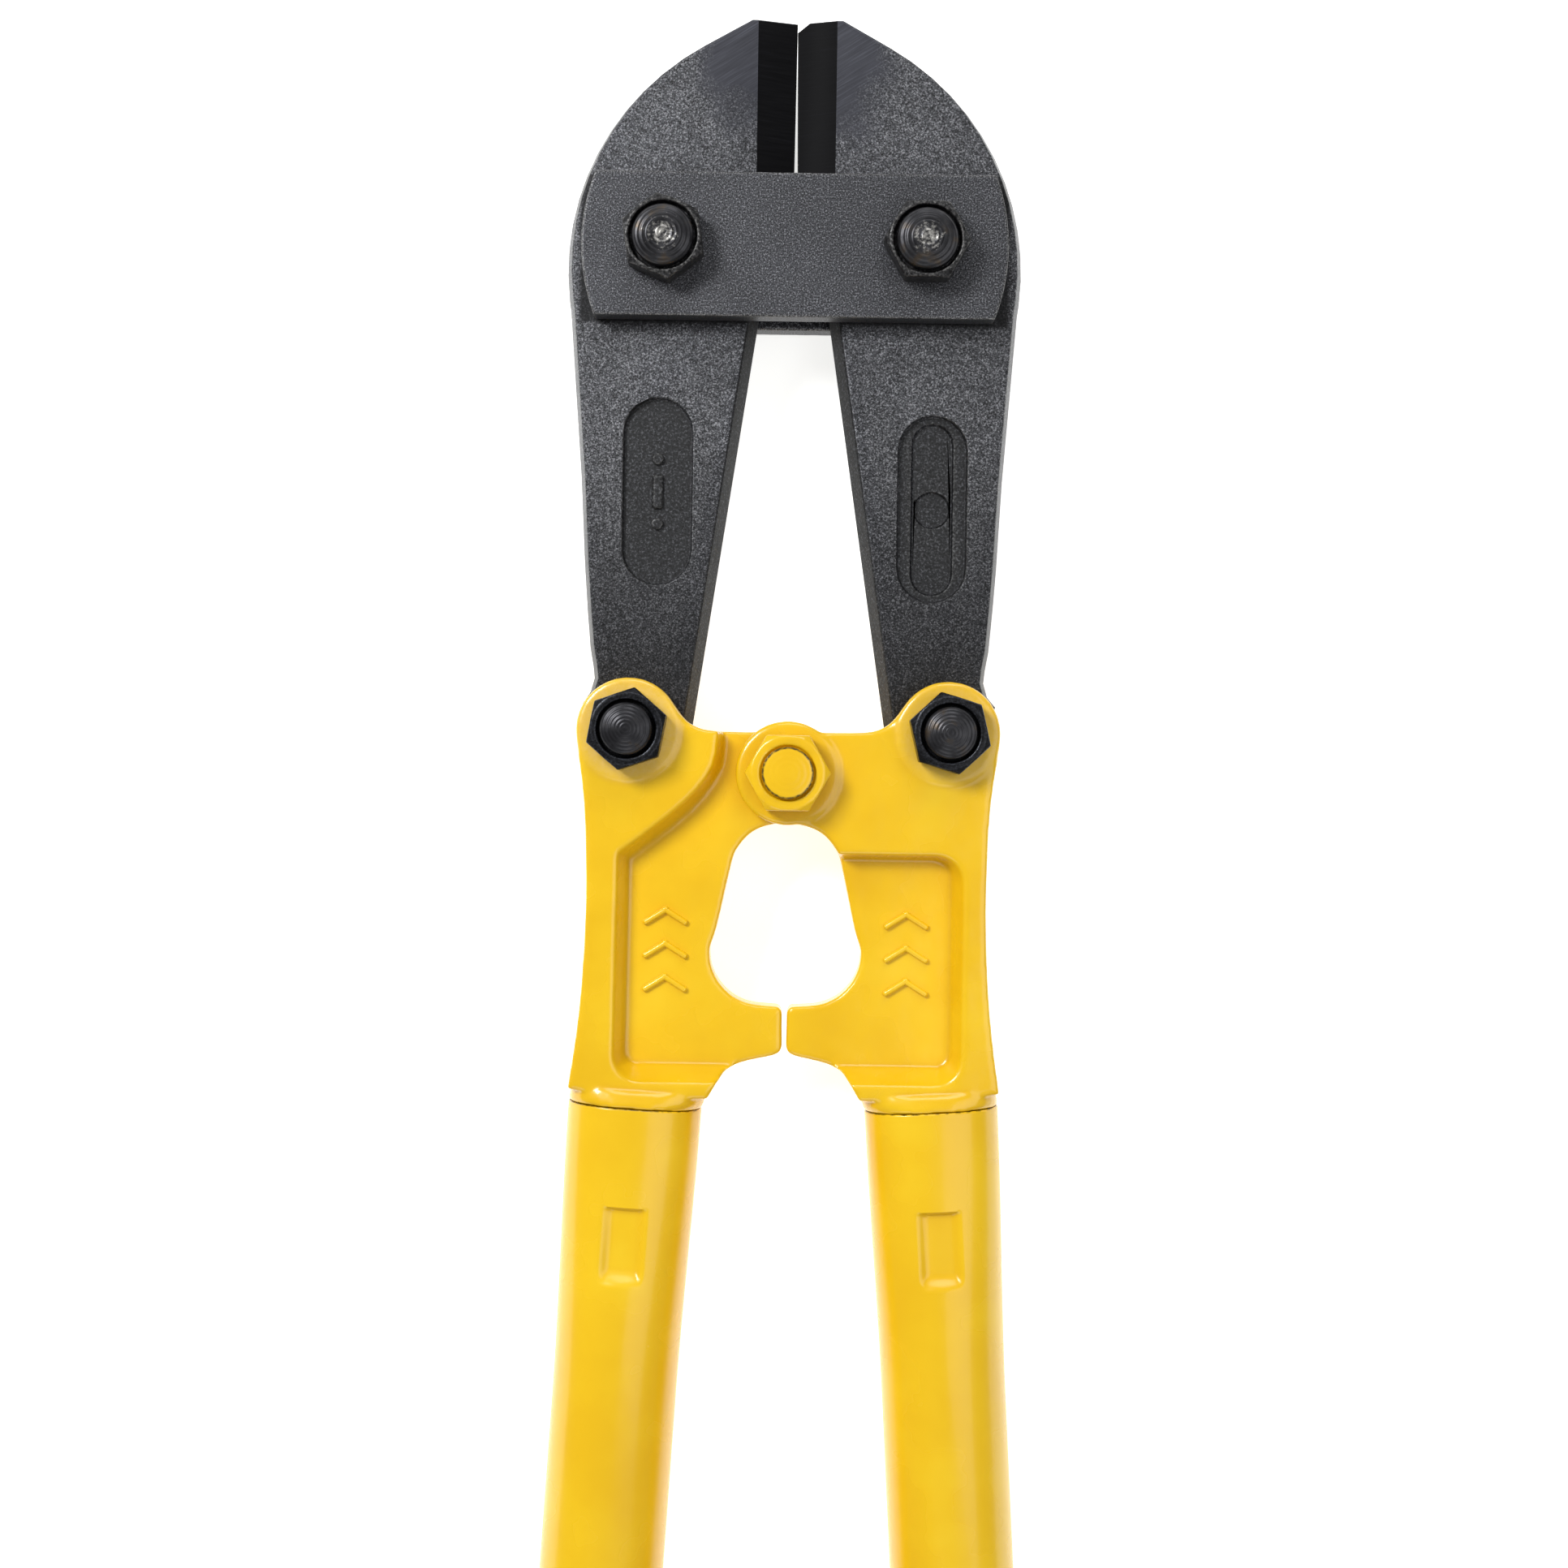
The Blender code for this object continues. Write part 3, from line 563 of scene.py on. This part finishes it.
def hexBlock(name, flats, bottom, top, chamfers):
    # a hexagon with turned chamfers; chamfers are the heights taken off the corners below and above
    letGo()
    middle = (bottom + top) / 2
    bpy.ops.mesh.primitive_cylinder_add(vertices=6, radius=flats / math.sqrt(3), depth=top - bottom,
                                        location=(0, 0, middle))
    block = named(name)
    setDown(block)
    wide = flats / math.sqrt(3) * 1.03
    narrow = flats / 2 * 0.97
    past = mm                                   # the barrel runs past both ends of the hexagon
    below, above = [(wide - (wide - narrow) / cut * (cut + past)) if cut else wide for cut in chamfers]
    profile = [(0, bottom - past), (below, bottom - past)]
    profile += [(wide, bottom + chamfers[0])] if chamfers[0] else []
    profile += [(wide, top - chamfers[1])] if chamfers[1] else []
    profile += [(above, top + past), (0, top + past)]
    carve(block, turnOnLathe("barrel", profile, 72), "INTERSECT")
    return block


# bolts and nuts

# sizes in mm: flats across the hexagon, the well round the bolt's end, and how worn the nut is;
# turns are in degrees
nutKinds = {
    "strap": {"flats": 19.2, "well": 8.6, "wellDepth": 2.8, "passes": 4, "dents": 0.3, "dentSize": 2.0,
              "turn": {"left": 68, "right": 30}},
    "link": {"flats": 18.5, "well": 7.45, "wellDepth": 2.4, "passes": 4, "dents": 0.1, "dentSize": 2.5,
             "turn": {"left": -10.8, "right": 13.2}},
    "centre": {"flats": 19.0, "well": 6.95, "wellDepth": 1.0, "passes": 9, "dents": 0.18, "dentSize": 3.0,
               "turn": {"right": 30}},
}
nutVoxel = 0.27 * mm
nutHoleRadius = 6.3 * mm
nutChamfers = (1.2 * mm, 1.5 * mm)       # taken off the corners below and above
wellFlare = 0.3                          # how much wider the well is at its mouth, in mm


def makeNut(kind, word, name, node, body, slot, finish):
    sizes = nutKinds[kind]
    low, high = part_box(node)
    block = hexBlock(name, sizes["flats"] * mm, low.z, high.z, nutChamfers)
    deep = high.z - sizes["wellDepth"] * mm
    well = turnOnLathe("well", [(0, low.z - mm), (nutHoleRadius, low.z - mm), (nutHoleRadius, deep),
                                (sizes["well"] * mm, deep), (sizes["well"] * mm, high.z - 0.4 * mm),
                                ((sizes["well"] + wellFlare) * mm, high.z + 0.5 * mm),
                                (0, high.z + 0.5 * mm)], 72)
    carve(block, well)
    useModifier(block, "REMESH", mode="VOXEL", voxel_size=nutVoxel)
    useModifier(block, "SMOOTH", factor=0.5, iterations=sizes["passes"])
    middle = middleOf(node)
    setDown(block, (middle.x, middle.y, 0), math.radians(sizes["turn"][word]))
    roughen(block, sizes["dentSize"] * mm, sizes["dents"] * mm)
    markEdges(block, 1.1 * mm)
    shadeRound(block, 60)
    handIn(block, body, node, slot, finish)


# sizes in mm: the end's radius, how high it domes, its turned rings, and how bright its middle is, rubbed
# and with a painted highlight; turns of the hexagon heads on the far side are in degrees
boltKinds = {
    "strap": {"radius": 7.75, "skirt": 2.4, "dome": 2.3, "ring": 1.1, "ringDepth": 0.11, "shine": 1.0,
              "turn": 8},
    "link": {"radius": 6.6, "skirt": 2.1, "dome": 1.5, "ring": 0.9, "ringDepth": 0.07, "shine": 0.2,
             "turn": 20},
    "centre": {"radius": 6.55, "skirt": 0.9, "dome": 0.35, "ring": 1.4, "ringDepth": 0.02, "shine": 0,
               "turn": 0},
}
shankRadius = 6.0 * mm
headFlats = 19.0 * mm
headChamfer = 1.5 * mm
castingHeadTop = 13.0 * mm               # from the middle plane down to the heads under the castings


def boltEnd(sizes, top):
    # the end's profile from its skirt to its middle: a shallow dome with turned rings
    radius = sizes["radius"] * mm
    rise = sizes["dome"] * mm
    rim = top - rise
    profile = [(radius - 0.15 * mm, rim - sizes["skirt"] * mm), (radius, rim - (sizes["skirt"] - 0.2) * mm),
               (radius, rim - 0.35 * mm)]
    pitch = sizes["ring"] * mm / 4
    count = int((radius - 0.3 * mm) / pitch)
    for i in range(count + 1):
        across = (radius - 0.3 * mm) * (1 - i / count)
        share = across / radius
        ripple = sizes["ringDepth"] * mm * math.cos(tau * i / 4) * min(1, (count - i) / 6)
        profile.append((across, top - rise * share ** 2.2 - ripple))
    return profile


def makeBolt(kind, word, name, node, body, slot, *finishes):
    sizes = boltKinds[kind]
    low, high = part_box(node)
    middle = middleOf(node)
    end = boltEnd(sizes, high.z - 0.08 * mm)
    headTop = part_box("strap_plate_rear")[0].z if kind == "strap" else planeZ - castingHeadTop
    profile = [(0, headTop - mm), (shankRadius, headTop - mm), (shankRadius, end[0][1])] + end
    bolt = turnOnLathe(name, profile)
    head = hexBlock("head", headFlats, low.z, headTop - 0.2 * mm, (headChamfer, 0))
    setDown(head, turn=sides[word] * math.radians(sizes["turn"]))
    useModifier(head, "REMESH", mode="VOXEL", voxel_size=nutVoxel)
    useModifier(head, "SMOOTH", factor=0.5, iterations=4)
    carve(bolt, head, "UNION")
    setDown(bolt, (middle.x, middle.y, 0))
    points = pointsOf(bolt)
    across = np.hypot(points[:, 0] - middle.x, points[:, 1] - middle.y)
    onEnd = (points[:, 2] > end[0][1]) & (across < sizes["radius"] * 0.99 * mm)
    # the bright middle of the end: rubbed to bare steel, and also a painted highlight on the dome
    rubbed = np.where(onEnd, 1 - np.abs(across / (sizes["radius"] * mm) - 0.1), 0)
    giveValue(bolt, "rubbed", np.clip(rubbed, 0, 1) * sizes["shine"])
    if kind == "centre":
        ringed = (points[:, 2] > end[0][1]) & (across > (sizes["radius"] - 0.5) * mm)
        giveValue(bolt, "crack", ringed.astype(float))
    markEdges(bolt, 0.6 * mm)
    shadeRound(bolt, 40)
    handIn(bolt, body, node, slot, *finishes)
    if len(finishes) > 1:
        paintFaces(bolt, 1, lambda at, normal: at.z > end[0][1])


def makeFasteners():
    print("turning the bolts and nuts")
    for word in sides:
        capital = word.capitalize()
        for kind, body, finish in (("strap", "head", wornOxide), ("link", "handle_" + word, satinOxide)):
            makeNut(kind, word, kind + "Nut" + capital, kind + "_nut_" + word, body, "black_fastener", finish)
            makeBolt(kind, word, kind + "Bolt" + capital, kind + "_bolt_" + word, body, "black_fastener",
                     finish, turnedEnd)
    makeNut("centre", "right", "centreNut", "centre_nut", "handle_right", "yellow_fastener", castEnamel)
    makeBolt("centre", "right", "centreBolt", "centre_bolt", "handle_right", "yellow_fastener", castEnamel)


# jaws

# sizes in mm, from the centre bolt
jawLook = {
    "edgeRadius": 0.55,
    "edgeGap": 0.01,                                 # from the middle line to each cutting edge
    "bevelReach": 9.6,                               # the bevel's faces lie nearer the middle line than this
    "bevelBottom": 150,                              # lower end of the cutting bevel
    "armTop": 125,                                   # top of the arms' inner faces, which are painted darker as painted shade
    "recessed": 5.2,                                 # faces nearer the middle plane than this are recessed
    "tipCorner": {"left": 0.9, "right": 3.0},        # how much is ground off the corner at the tip
    "tipDrop": {"left": 1.0, "right": 3.4},
    "pip": 1.5,                                      # raised marks in the left jaw's recess
    "pipHeight": 1.1,
    "recessFloor": 3.9,                              # above the middle plane
    "pipPlaces": [(-34.5, 80.5), (-34.5, 63.8)],
    "barPlace": (-34.5, 72.1),
    "barSize": (3.0, 9.0),
}


def forgeJaw(word):
    print("forging the", word, "jaw")
    side = sides[word]
    jaw = copyNode("blade_" + word, "jaw" + word.capitalize())
    openUp(jaw)
    bpy.ops.mesh.select_all(action="SELECT")
    bpy.ops.mesh.dissolve_limited(angle_limit=math.radians(0.6))
    bevelBottom = place(0, jawLook["bevelBottom"]).y
    corner = jawLook["tipCorner"][word] * mm
    drop = jawLook["tipDrop"][word] * mm
    bpy.ops.mesh.select_all(action="SELECT")
    bpy.ops.mesh.bisect(plane_co=(side * corner, tipY, planeZ), plane_no=(-side * drop, corner, 0),
                        use_fill=True, clear_outer=True, threshold=0.001 * mm)
    closeUp()
    useModifier(jaw, "BEVEL", width=jawLook["edgeRadius"] * mm, segments=3, limit_method="ANGLE",
                angle_limit=math.radians(40), use_clamp_overlap=False, miter_outer="MITER_ARC")
    points = pointsOf(jaw)
    onEdge = (np.abs(points[:, 0]) < 1.0 * mm) & (points[:, 1] > bevelBottom)
    points[onEdge, 0] = side * jawLook["edgeGap"] * mm
    movePoints(jaw, points)
    markEdges(jaw, jawLook["edgeRadius"] * mm, 0.45)
    shadeRound(jaw, 24)
    handIn(jaw, "blade_" + word, "blade_" + word, "black_forging", blastedForging, groundEdge, shadedForging)
    bevelReach = jawLook["bevelReach"] * mm
    paintFaces(jaw, 1, lambda at, normal: abs(at.x) < bevelReach and at.y > bevelBottom
               and abs(normal.x) > 0.3 and abs(normal.z) > 0.5)
    # the recess floors and the arms' inner faces take the darker forging: painted shade
    armTop = place(0, jawLook["armTop"]).y
    recessed = jawLook["recessed"] * mm
    paintFaces(jaw, 2, lambda at, normal: abs(at.z - planeZ) < recessed and abs(normal.z) > 0.9
               or abs(normal.z) < 0.85 and normal.x * side < -0.2 and at.y < armTop)
    useModifier(jaw, "WEIGHTED_NORMAL", keep_sharp=True)


def jawMarks():
    # forged marks standing up from the floor of the left jaw's recess: two pips and a bar
    floor = planeZ + jawLook["recessFloor"] * mm
    radius = jawLook["pip"] * mm
    tall = jawLook["pipHeight"] * 2 * mm
    top = tall / 2
    dome = [(0, -top), (radius, -top), (radius, top - 0.4 * mm), (radius - 0.12 * mm, top - 0.12 * mm),
            (radius - 0.4 * mm, top), (0, top)]
    marks = []
    for x, y in jawLook["pipPlaces"]:
        marks.append(turnOnLathe("pip", dome, 48))
        setDown(marks[-1], (*place(x, y)[:2], floor))
    width, length = jawLook["barSize"]
    marks.append(raisedPad("bar", width * mm, length * mm, tall, width * 0.3 * mm))
    setDown(marks[-1], (*place(*jawLook["barPlace"])[:2], floor))
    group = joinAll(marks, "jawMarks")
    useModifier(group, "REMESH", mode="VOXEL", voxel_size=0.13 * mm)
    useModifier(group, "SMOOTH", factor=0.5, iterations=3)
    markEdges(group, 0.5 * mm)
    shadeRound(group, 40)
    # the marks take the recess's darker forging, which carries painted shade
    handIn(group, "blade_left", None, "black_forging", shadedForging)


def raisedPad(name, width, length, height, rounding):
    # a low pad rounded along all its edges, for marks standing up from a cast or forged surface
    letGo()
    bpy.ops.mesh.primitive_cube_add(size=1)
    pad = named(name)
    pad.scale = (width, length, height)
    setDown(pad)
    openUp(pad, "EDGE")
    bpy.ops.mesh.select_all(action="SELECT")
    bpy.ops.mesh.bevel(offset=rounding, segments=8, affect="EDGES")
    closeUp()
    return pad


def joinAll(pieces, name):
    letGo()
    for piece in pieces:
        piece.select_set(True)
    bpy.context.view_layer.objects.active = pieces[0]
    bpy.ops.object.join()
    return named(name)


# strap plates

strapLook = {"bulge": 3.4 * mm, "hole": 6.3 * mm, "cuts": 17, "voxel": 0.46 * mm, "passes": 3}


def stampStrap(node, name):
    print("stamping", name)
    low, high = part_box(node)
    middle = (low + high) / 2
    cornerX = (high.x - low.x) / 2 - strapLook["bulge"]
    halfHeight = (high.y - low.y) / 2
    letGo()
    bpy.ops.mesh.primitive_cube_add(size=2)
    plate = named(name)
    plate.scale = (cornerX, halfHeight, (high.z - low.z) / 2)
    setDown(plate)
    openUp(plate, "EDGE")
    closeUp()
    for edge in plate.data.edges:
        ends = [plate.data.vertices[i].co for i in edge.vertices]
        edge.select = abs(ends[0].y - ends[1].y) > halfHeight
    bpy.ops.object.mode_set(mode="EDIT")
    bpy.ops.mesh.select_mode(type="EDGE")
    bpy.ops.mesh.subdivide(number_cuts=strapLook["cuts"])
    closeUp()
    points = pointsOf(plate)
    endRadius = (halfHeight ** 2 + strapLook["bulge"] ** 2) / (2 * strapLook["bulge"])
    bow = np.sqrt(endRadius ** 2 - points[:, 1] ** 2) - (endRadius - strapLook["bulge"])
    points[:, 0] += np.sign(points[:, 0]) * bow
    movePoints(plate, points)
    setDown(plate, middle)
    for word in sides:
        at = middleOf("strap_nut_" + word)
        bpy.ops.mesh.primitive_cylinder_add(vertices=72, radius=strapLook["hole"], depth=0.1,
                                            location=(at.x, at.y, middle.z))
        carve(plate, named("hole"))
    useModifier(plate, "REMESH", mode="VOXEL", voxel_size=strapLook["voxel"])
    useModifier(plate, "SMOOTH", factor=0.5, iterations=strapLook["passes"])
    roughen(plate, 2.2 * mm, 0.08 * mm)
    markEdges(plate, 0.9 * mm, 0.2)
    shadeRound(plate, 60)
    handIn(plate, "head", node, "black_plate", peenedPlate)


# handle castings

castingLook = {
    "voxel": 0.56 * mm,
    "passes": 10,              # smoothing passes, which leave about 1 mm of radius on the edges
    "wave": 11 * mm,
    "waveHeight": 0.16 * mm,
    "nutReflection": {"left": 0.75, "right": 0.35},       # how strongly the ear round the link nut is made paler: a painted reflection
    "reflectionReach": 15 * mm, "reflectionFade": 5 * mm, "earHeight": 10 * mm,
}
seam = {"x": 38.3, "y": -85.9, "lean": math.radians(3.38)}       # where a tube meets its casting, in mm


def downTube(points, side):
    # how far each point lies down the tube from the seam
    across = (points[:, 0] - centreBolt.x) * side - seam["x"] * mm
    up = points[:, 1] - centreBolt.y - seam["y"] * mm
    return across * math.sin(seam["lean"]) - up * math.cos(seam["lean"])


def brokenLine(points, side):
    # how strongly the seam shows along its length: mostly whole towards the outside, dashes and dots inwards
    out = (points[:, 0] - centreBolt.x) * side / mm - seam["x"]
    if side < 0:
        return np.where(out > -7, 0.8, 0.55 * (np.sin(out * 3.1) > 0.1))
    return np.where(out < -12, 0.7, 0.8 * (np.sin(out * 2.3) + 0.5 * np.sin(out * 5.9) > 0.2))


def castHandle(word):
    print("casting the", word, "handle end")
    casting = copyNode("handle_casting_" + word, "casting" + word.capitalize())
    useModifier(casting, "REMESH", mode="VOXEL", voxel_size=castingLook["voxel"])
    useModifier(casting, "SMOOTH", factor=0.5, iterations=castingLook["passes"])
    roughen(casting, castingLook["wave"], castingLook["waveHeight"])
    markEdges(casting, 2.2 * mm)
    points = pointsOf(casting)
    # a pale ring round the link nut on the ear: painted reflection
    link = middleOf("link_nut_" + word)
    reach = np.hypot(points[:, 0] - link.x, points[:, 1] - link.y)
    onEar = points[:, 2] > planeZ + castingLook["earHeight"]
    nutReflection = smoothStep((castingLook["reflectionReach"] - reach) / castingLook["reflectionFade"]) * onEar
    giveValue(casting, "nutReflection", nutReflection * castingLook["nutReflection"][word])
    shadeRound(casting, 60)
    handIn(casting, "handle_" + word, "handle_casting_" + word, "yellow_casting", castEnamel)


# marks cast on the webs: three chevrons one above the other, in mm from the centre bolt
castMarks = {
    "places": {"left": (-30.9, -45.6), "right": (31.0, -46.0)},
    "spread": 8.6,
    "arm": (7.6, 1.5),
    "angle": math.radians(32),
    "height": 1.3,
    "web": 5.5,
}


def castMark(word):
    x, y = castMarks["places"][word]
    width, thick = castMarks["arm"]
    strokes = []
    for row in (-1, 0, 1):
        for half in (-1, 1):
            pad = raisedPad("stroke", width * mm, thick * mm, castMarks["height"] * 2 * mm, thick * 0.48 * mm)
            centre = place(x + half * (width / 2 - 0.9) * math.cos(castMarks["angle"]),
                           y + row * castMarks["spread"], castMarks["web"])
            setDown(pad, centre, -half * castMarks["angle"])
            strokes.append(pad)
    marks = joinAll(strokes, "castMark" + word.capitalize())
    shadeRound(marks, 40)
    handIn(marks, "handle_" + word, None, "yellow_casting", castEnamel)


# tubes

# sizes in mm; distances run down the tube from the seam
tubeLook = {
    "sides": 176,
    "radius": 16.0, "wall": 2.5,
    "halfWidth": 17.2, "halfHeight": 14.7, "power": 2.4,      # the flattened end
    "flattened": 75.0,
    "rim": 0.5,                                               # rounding at the seam
    "crackAt": 0.1, "crackWidth": 0.22,                       # where the paint has cracked along the seam
    "end": 615.5,
    "dentAt": 35.0, "dentTop": (6.0, 10.0), "dentDepth": 1.7,
    "dentWalls": {"up": 0.7, "down": 4.6, "inner": 2.3, "outer": 3.0},     # how far each wall slopes in
}


def tubeStations():
    # close together at the seam and the dent, far apart down the plain tube
    stations = [0.03, 0.1, 0.2, 0.32, 0.5, 0.8, 1.4, 2.4]
    while stations[-1] < tubeLook["end"]:
        last = stations[-1]
        fine = abs(last - tubeLook["dentAt"]) < tubeLook["dentTop"][1] + 3
        stations.append(last + (0.5 if fine else 2.0 if last < tubeLook["flattened"] else 18))
    stations[-1] = tubeLook["end"]
    return stations


def drawTube(word):
    print("drawing the", word, "tube")
    side = sides[word]
    stations = tubeStations()
    letGo()
    bpy.ops.mesh.primitive_circle_add(vertices=tubeLook["sides"], radius=1, fill_type="NOTHING",
                                      location=(0, 0, stations[0] * mm))
    tube = named("tube" + word.capitalize())
    setDown(tube)
    openUp(tube, "EDGE")
    bpy.ops.mesh.select_all(action="SELECT")
    for last, station in zip(stations, stations[1:]):
        bpy.ops.mesh.extrude_region_move(TRANSFORM_OT_translate={"value": (0, 0, (station - last) * mm)})
    closeUp()

    points = pointsOf(tube)
    distance = points[:, 2] / mm
    angle = np.arctan2(points[:, 1], points[:, 0])
    round_ = smoothStep(distance / tubeLook["flattened"])
    rim = np.clip(1 - distance / tubeLook["rim"], 0, 1)
    drawnIn = tubeLook["rim"] * (1 - np.sqrt(1 - rim ** 2))
    halfWidth = tubeLook["halfWidth"] + (tubeLook["radius"] - tubeLook["halfWidth"]) * round_ - drawnIn
    halfHeight = tubeLook["halfHeight"] + (tubeLook["radius"] - tubeLook["halfHeight"]) * round_ - drawnIn
    power = 2 / (tubeLook["power"] + (2 - tubeLook["power"]) * round_)
    across = halfWidth * np.sign(np.cos(angle)) * np.abs(np.cos(angle)) ** power
    height = halfHeight * np.sign(np.sin(angle)) * np.abs(np.sin(angle)) ** power

    # the dents pressed into the front and the back
    (topWidth, topLength), walls = tubeLook["dentTop"], tubeLook["dentWalls"]
    away = distance - tubeLook["dentAt"]
    wallAcross = np.where(across * side > 0, walls["inner"], walls["outer"])
    wallAlong = np.where(away < 0, walls["up"], walls["down"])
    overWidth = (np.abs(across) - topWidth + wallAcross) / wallAcross
    overLength = (np.abs(away) - topLength + wallAlong) / wallAlong
    outside = (np.clip(overWidth, 0, None) ** 3 + np.clip(overLength, 0, None) ** 3) ** (1 / 3)
    pressed = smoothStep(1.05 - outside)
    floor = tubeLook["halfHeight"] + 0.5 - tubeLook["dentDepth"]
    height = np.where(np.abs(height) > floor, height + (np.sign(height) * floor - height) * pressed, height)

    x = side * (seam["x"] + distance * math.sin(seam["lean"]) + across * math.cos(seam["lean"]))
    y = seam["y"] - distance * math.cos(seam["lean"]) + across * math.sin(seam["lean"])
    movePoints(tube, np.stack([centreBolt.x + x * mm, centreBolt.y + y * mm, planeZ + height * mm], axis=1))
    tidyMesh(tube)
    useModifier(tube, "SOLIDIFY", thickness=tubeLook["wall"] * mm, offset=-1)
    markEdges(tube, 1.5 * mm)
    points = pointsOf(tube)
    down = downTube(points, side)
    line = np.clip(1.1 - np.abs(down - tubeLook["crackAt"] * mm) / (tubeLook["crackWidth"] * mm), 0, 1)
    giveValue(tube, "crack", line * brokenLine(points, side))
    shadeRound(tube, 40)
    handIn(tube, "handle_" + word, "handle_tube_" + word, "yellow_tube", tubeEnamel)


# grips

# sizes in mm; heights run up the grip from its closed end
gripLook = {"length": 150.0, "radius": 18.6, "flange": 20.0, "bore": 16.1, "endWall": 4.0,
            "ribs": 17, "ribPitch": 6.2, "firstRib": 24.0, "ribDepth": 1.0, "end": 619.85}


def gripProfile():
    radius, flange, length = gripLook["radius"], gripLook["flange"], gripLook["length"]
    bore, depth, endWall = gripLook["bore"], gripLook["ribDepth"], gripLook["endWall"]
    profile = [(0, 0)]
    for i in range(7):
        angle = math.radians(15 * i)
        profile.append((radius - 4 + 3.2 * math.sin(angle), 3.2 - 3.2 * math.cos(angle)))
    profile += [(flange - 0.4, 4.4), (flange, 5.2), (flange, 8.4), (flange - 0.4, 9.4), (radius + 0.2, 13),
                (radius, 15)]
    for i in range(gripLook["ribs"]):
        start = gripLook["firstRib"] + i * gripLook["ribPitch"]
        profile += [(radius, start), (radius - depth * 0.75, start + 0.4), (radius - depth, start + 0.9),
                    (radius - depth, start + 1.5), (radius - depth * 0.75, start + 2.0),
                    (radius, start + 2.4)]
    profile += [(radius, length - 12), (radius + 0.3, length - 9.5), (flange - 0.3, length - 6.6),
                (flange, length - 5.8), (flange, length - 1.2), (flange - 0.4, length - 0.3),
                (flange - 1.2, length), (bore + 0.4, length), (bore, length - 0.4), (bore, endWall),
                (0, endWall)]
    return [(r * mm, z * mm) for r, z in profile]


def mouldGrip(word):
    print("moulding the", word, "grip")
    side = sides[word]
    grip = turnOnLathe("grip" + word.capitalize(), gripProfile(), 112)
    pickUp(grip)
    lean = seam["lean"]
    end = gripLook["end"]
    grip.rotation_euler = (-math.pi / 2, 0, side * lean)
    grip.location = place(side * (seam["x"] + end * math.sin(lean)), seam["y"] - end * math.cos(lean))
    bpy.ops.object.transform_apply(location=True, rotation=True, scale=True)
    shadeRound(grip, 40)
    handIn(grip, "handle_" + word, "grip_" + word, "black_grip", dippedVinyl)


makeFasteners()
stampStrap("strap_plate_front", "strapPlateFront")
stampStrap("strap_plate_rear", "strapPlateRear")
for word in sides:
    forgeJaw(word)
    castHandle(word)
    castMark(word)
    drawTube(word)
    mouldGrip(word)
jawMarks()


# studio

studio = {
    # the floor is a lit white panel, which leaves only faint shadows
    "floor": "#F4F4F2", "floorGlow": 0.8, "floorSize": 8, "floorGap": 0.1 * mm,
    "sky": "#FFFFFF", "skyStrength": 0.22,
    "distance": 650 * mm,           # camera above the middle plane
    "frameWidth": 406.7 * mm,       # what the picture spans there
    "aim": (-0.9, -2.75),           # mm from the centre bolt
    "roll": math.radians(0.8),
    # name: place in mm from the centre bolt, size in mm, power in watts
    "lamps": {"key": ((-620, 520, 900), 360, 11.0), "fill": ((560, -60, 900), 800, 3.0),
              "top": ((120, 900, 620), 500, 2.9), "foot": ((-100, -900, 700), 700, 2.2)},
}


def makeStudio():
    print("setting up the studio")
    letGo()
    floorZ = cadBox[0].z
    bpy.ops.mesh.primitive_plane_add(size=studio["floorSize"], location=(0, 0, floorZ - studio["floorGap"]))
    floor = named("floor")
    material, tree, shader, coordinates = newFinish("paleFloor", studio["floor"], 0.85,
                                                    Emission_Strength=studio["floorGlow"])
    dusty = addNode(tree, "ShaderNodeTexNoise", {"Scale": perSize(120), "Detail": 3.0},
                    {"Vector": coordinates})
    tone = addNode(tree, "ShaderNodeValToRGB", links={"Fac": dusty.outputs["Fac"]})
    setStops(tone, (0.3, "#F2F2F0"), (0.7, "#F7F7F6"))
    tree.links.new(tone.outputs["Color"], shader.inputs["Base Color"])
    shader.inputs["Emission Color"].default_value = hexColour(studio["floor"])
    floor.data.materials.append(material)

    world = bpy.data.worlds.new("studioSky")
    bpy.context.scene.world = world
    world.use_nodes = True
    background = world.node_tree.nodes["Background"]
    background.inputs["Color"].default_value = hexColour(studio["sky"])
    background.inputs["Strength"].default_value = studio["skyStrength"]

    for name, (where, size, power) in studio["lamps"].items():
        light = bpy.data.lights.new(name, "AREA")
        light.shape = "SQUARE"
        light.size = size * mm
        light.energy = power
        lamp = bpy.data.objects.new(name, light)
        bpy.context.scene.collection.objects.link(lamp)
        lamp.location = place(*where)
        lamp.rotation_euler = (place(0, 40) - lamp.location).to_track_quat("-Z", "Y").to_euler()

    camera = bpy.data.cameras.new("camera")
    camera.sensor_width = 36
    camera.lens = camera.sensor_width * studio["distance"] / studio["frameWidth"]
    camera.clip_start = 0.05
    viewer = bpy.data.objects.new("camera", camera)
    bpy.context.scene.collection.objects.link(viewer)
    viewer.location = place(*studio["aim"], studio["distance"] / mm)
    viewer.rotation_euler = (0, 0, studio["roll"])
    bpy.context.scene.camera = viewer
    bpy.context.scene.view_settings.view_transform = "Standard"


makeStudio()
print("done")
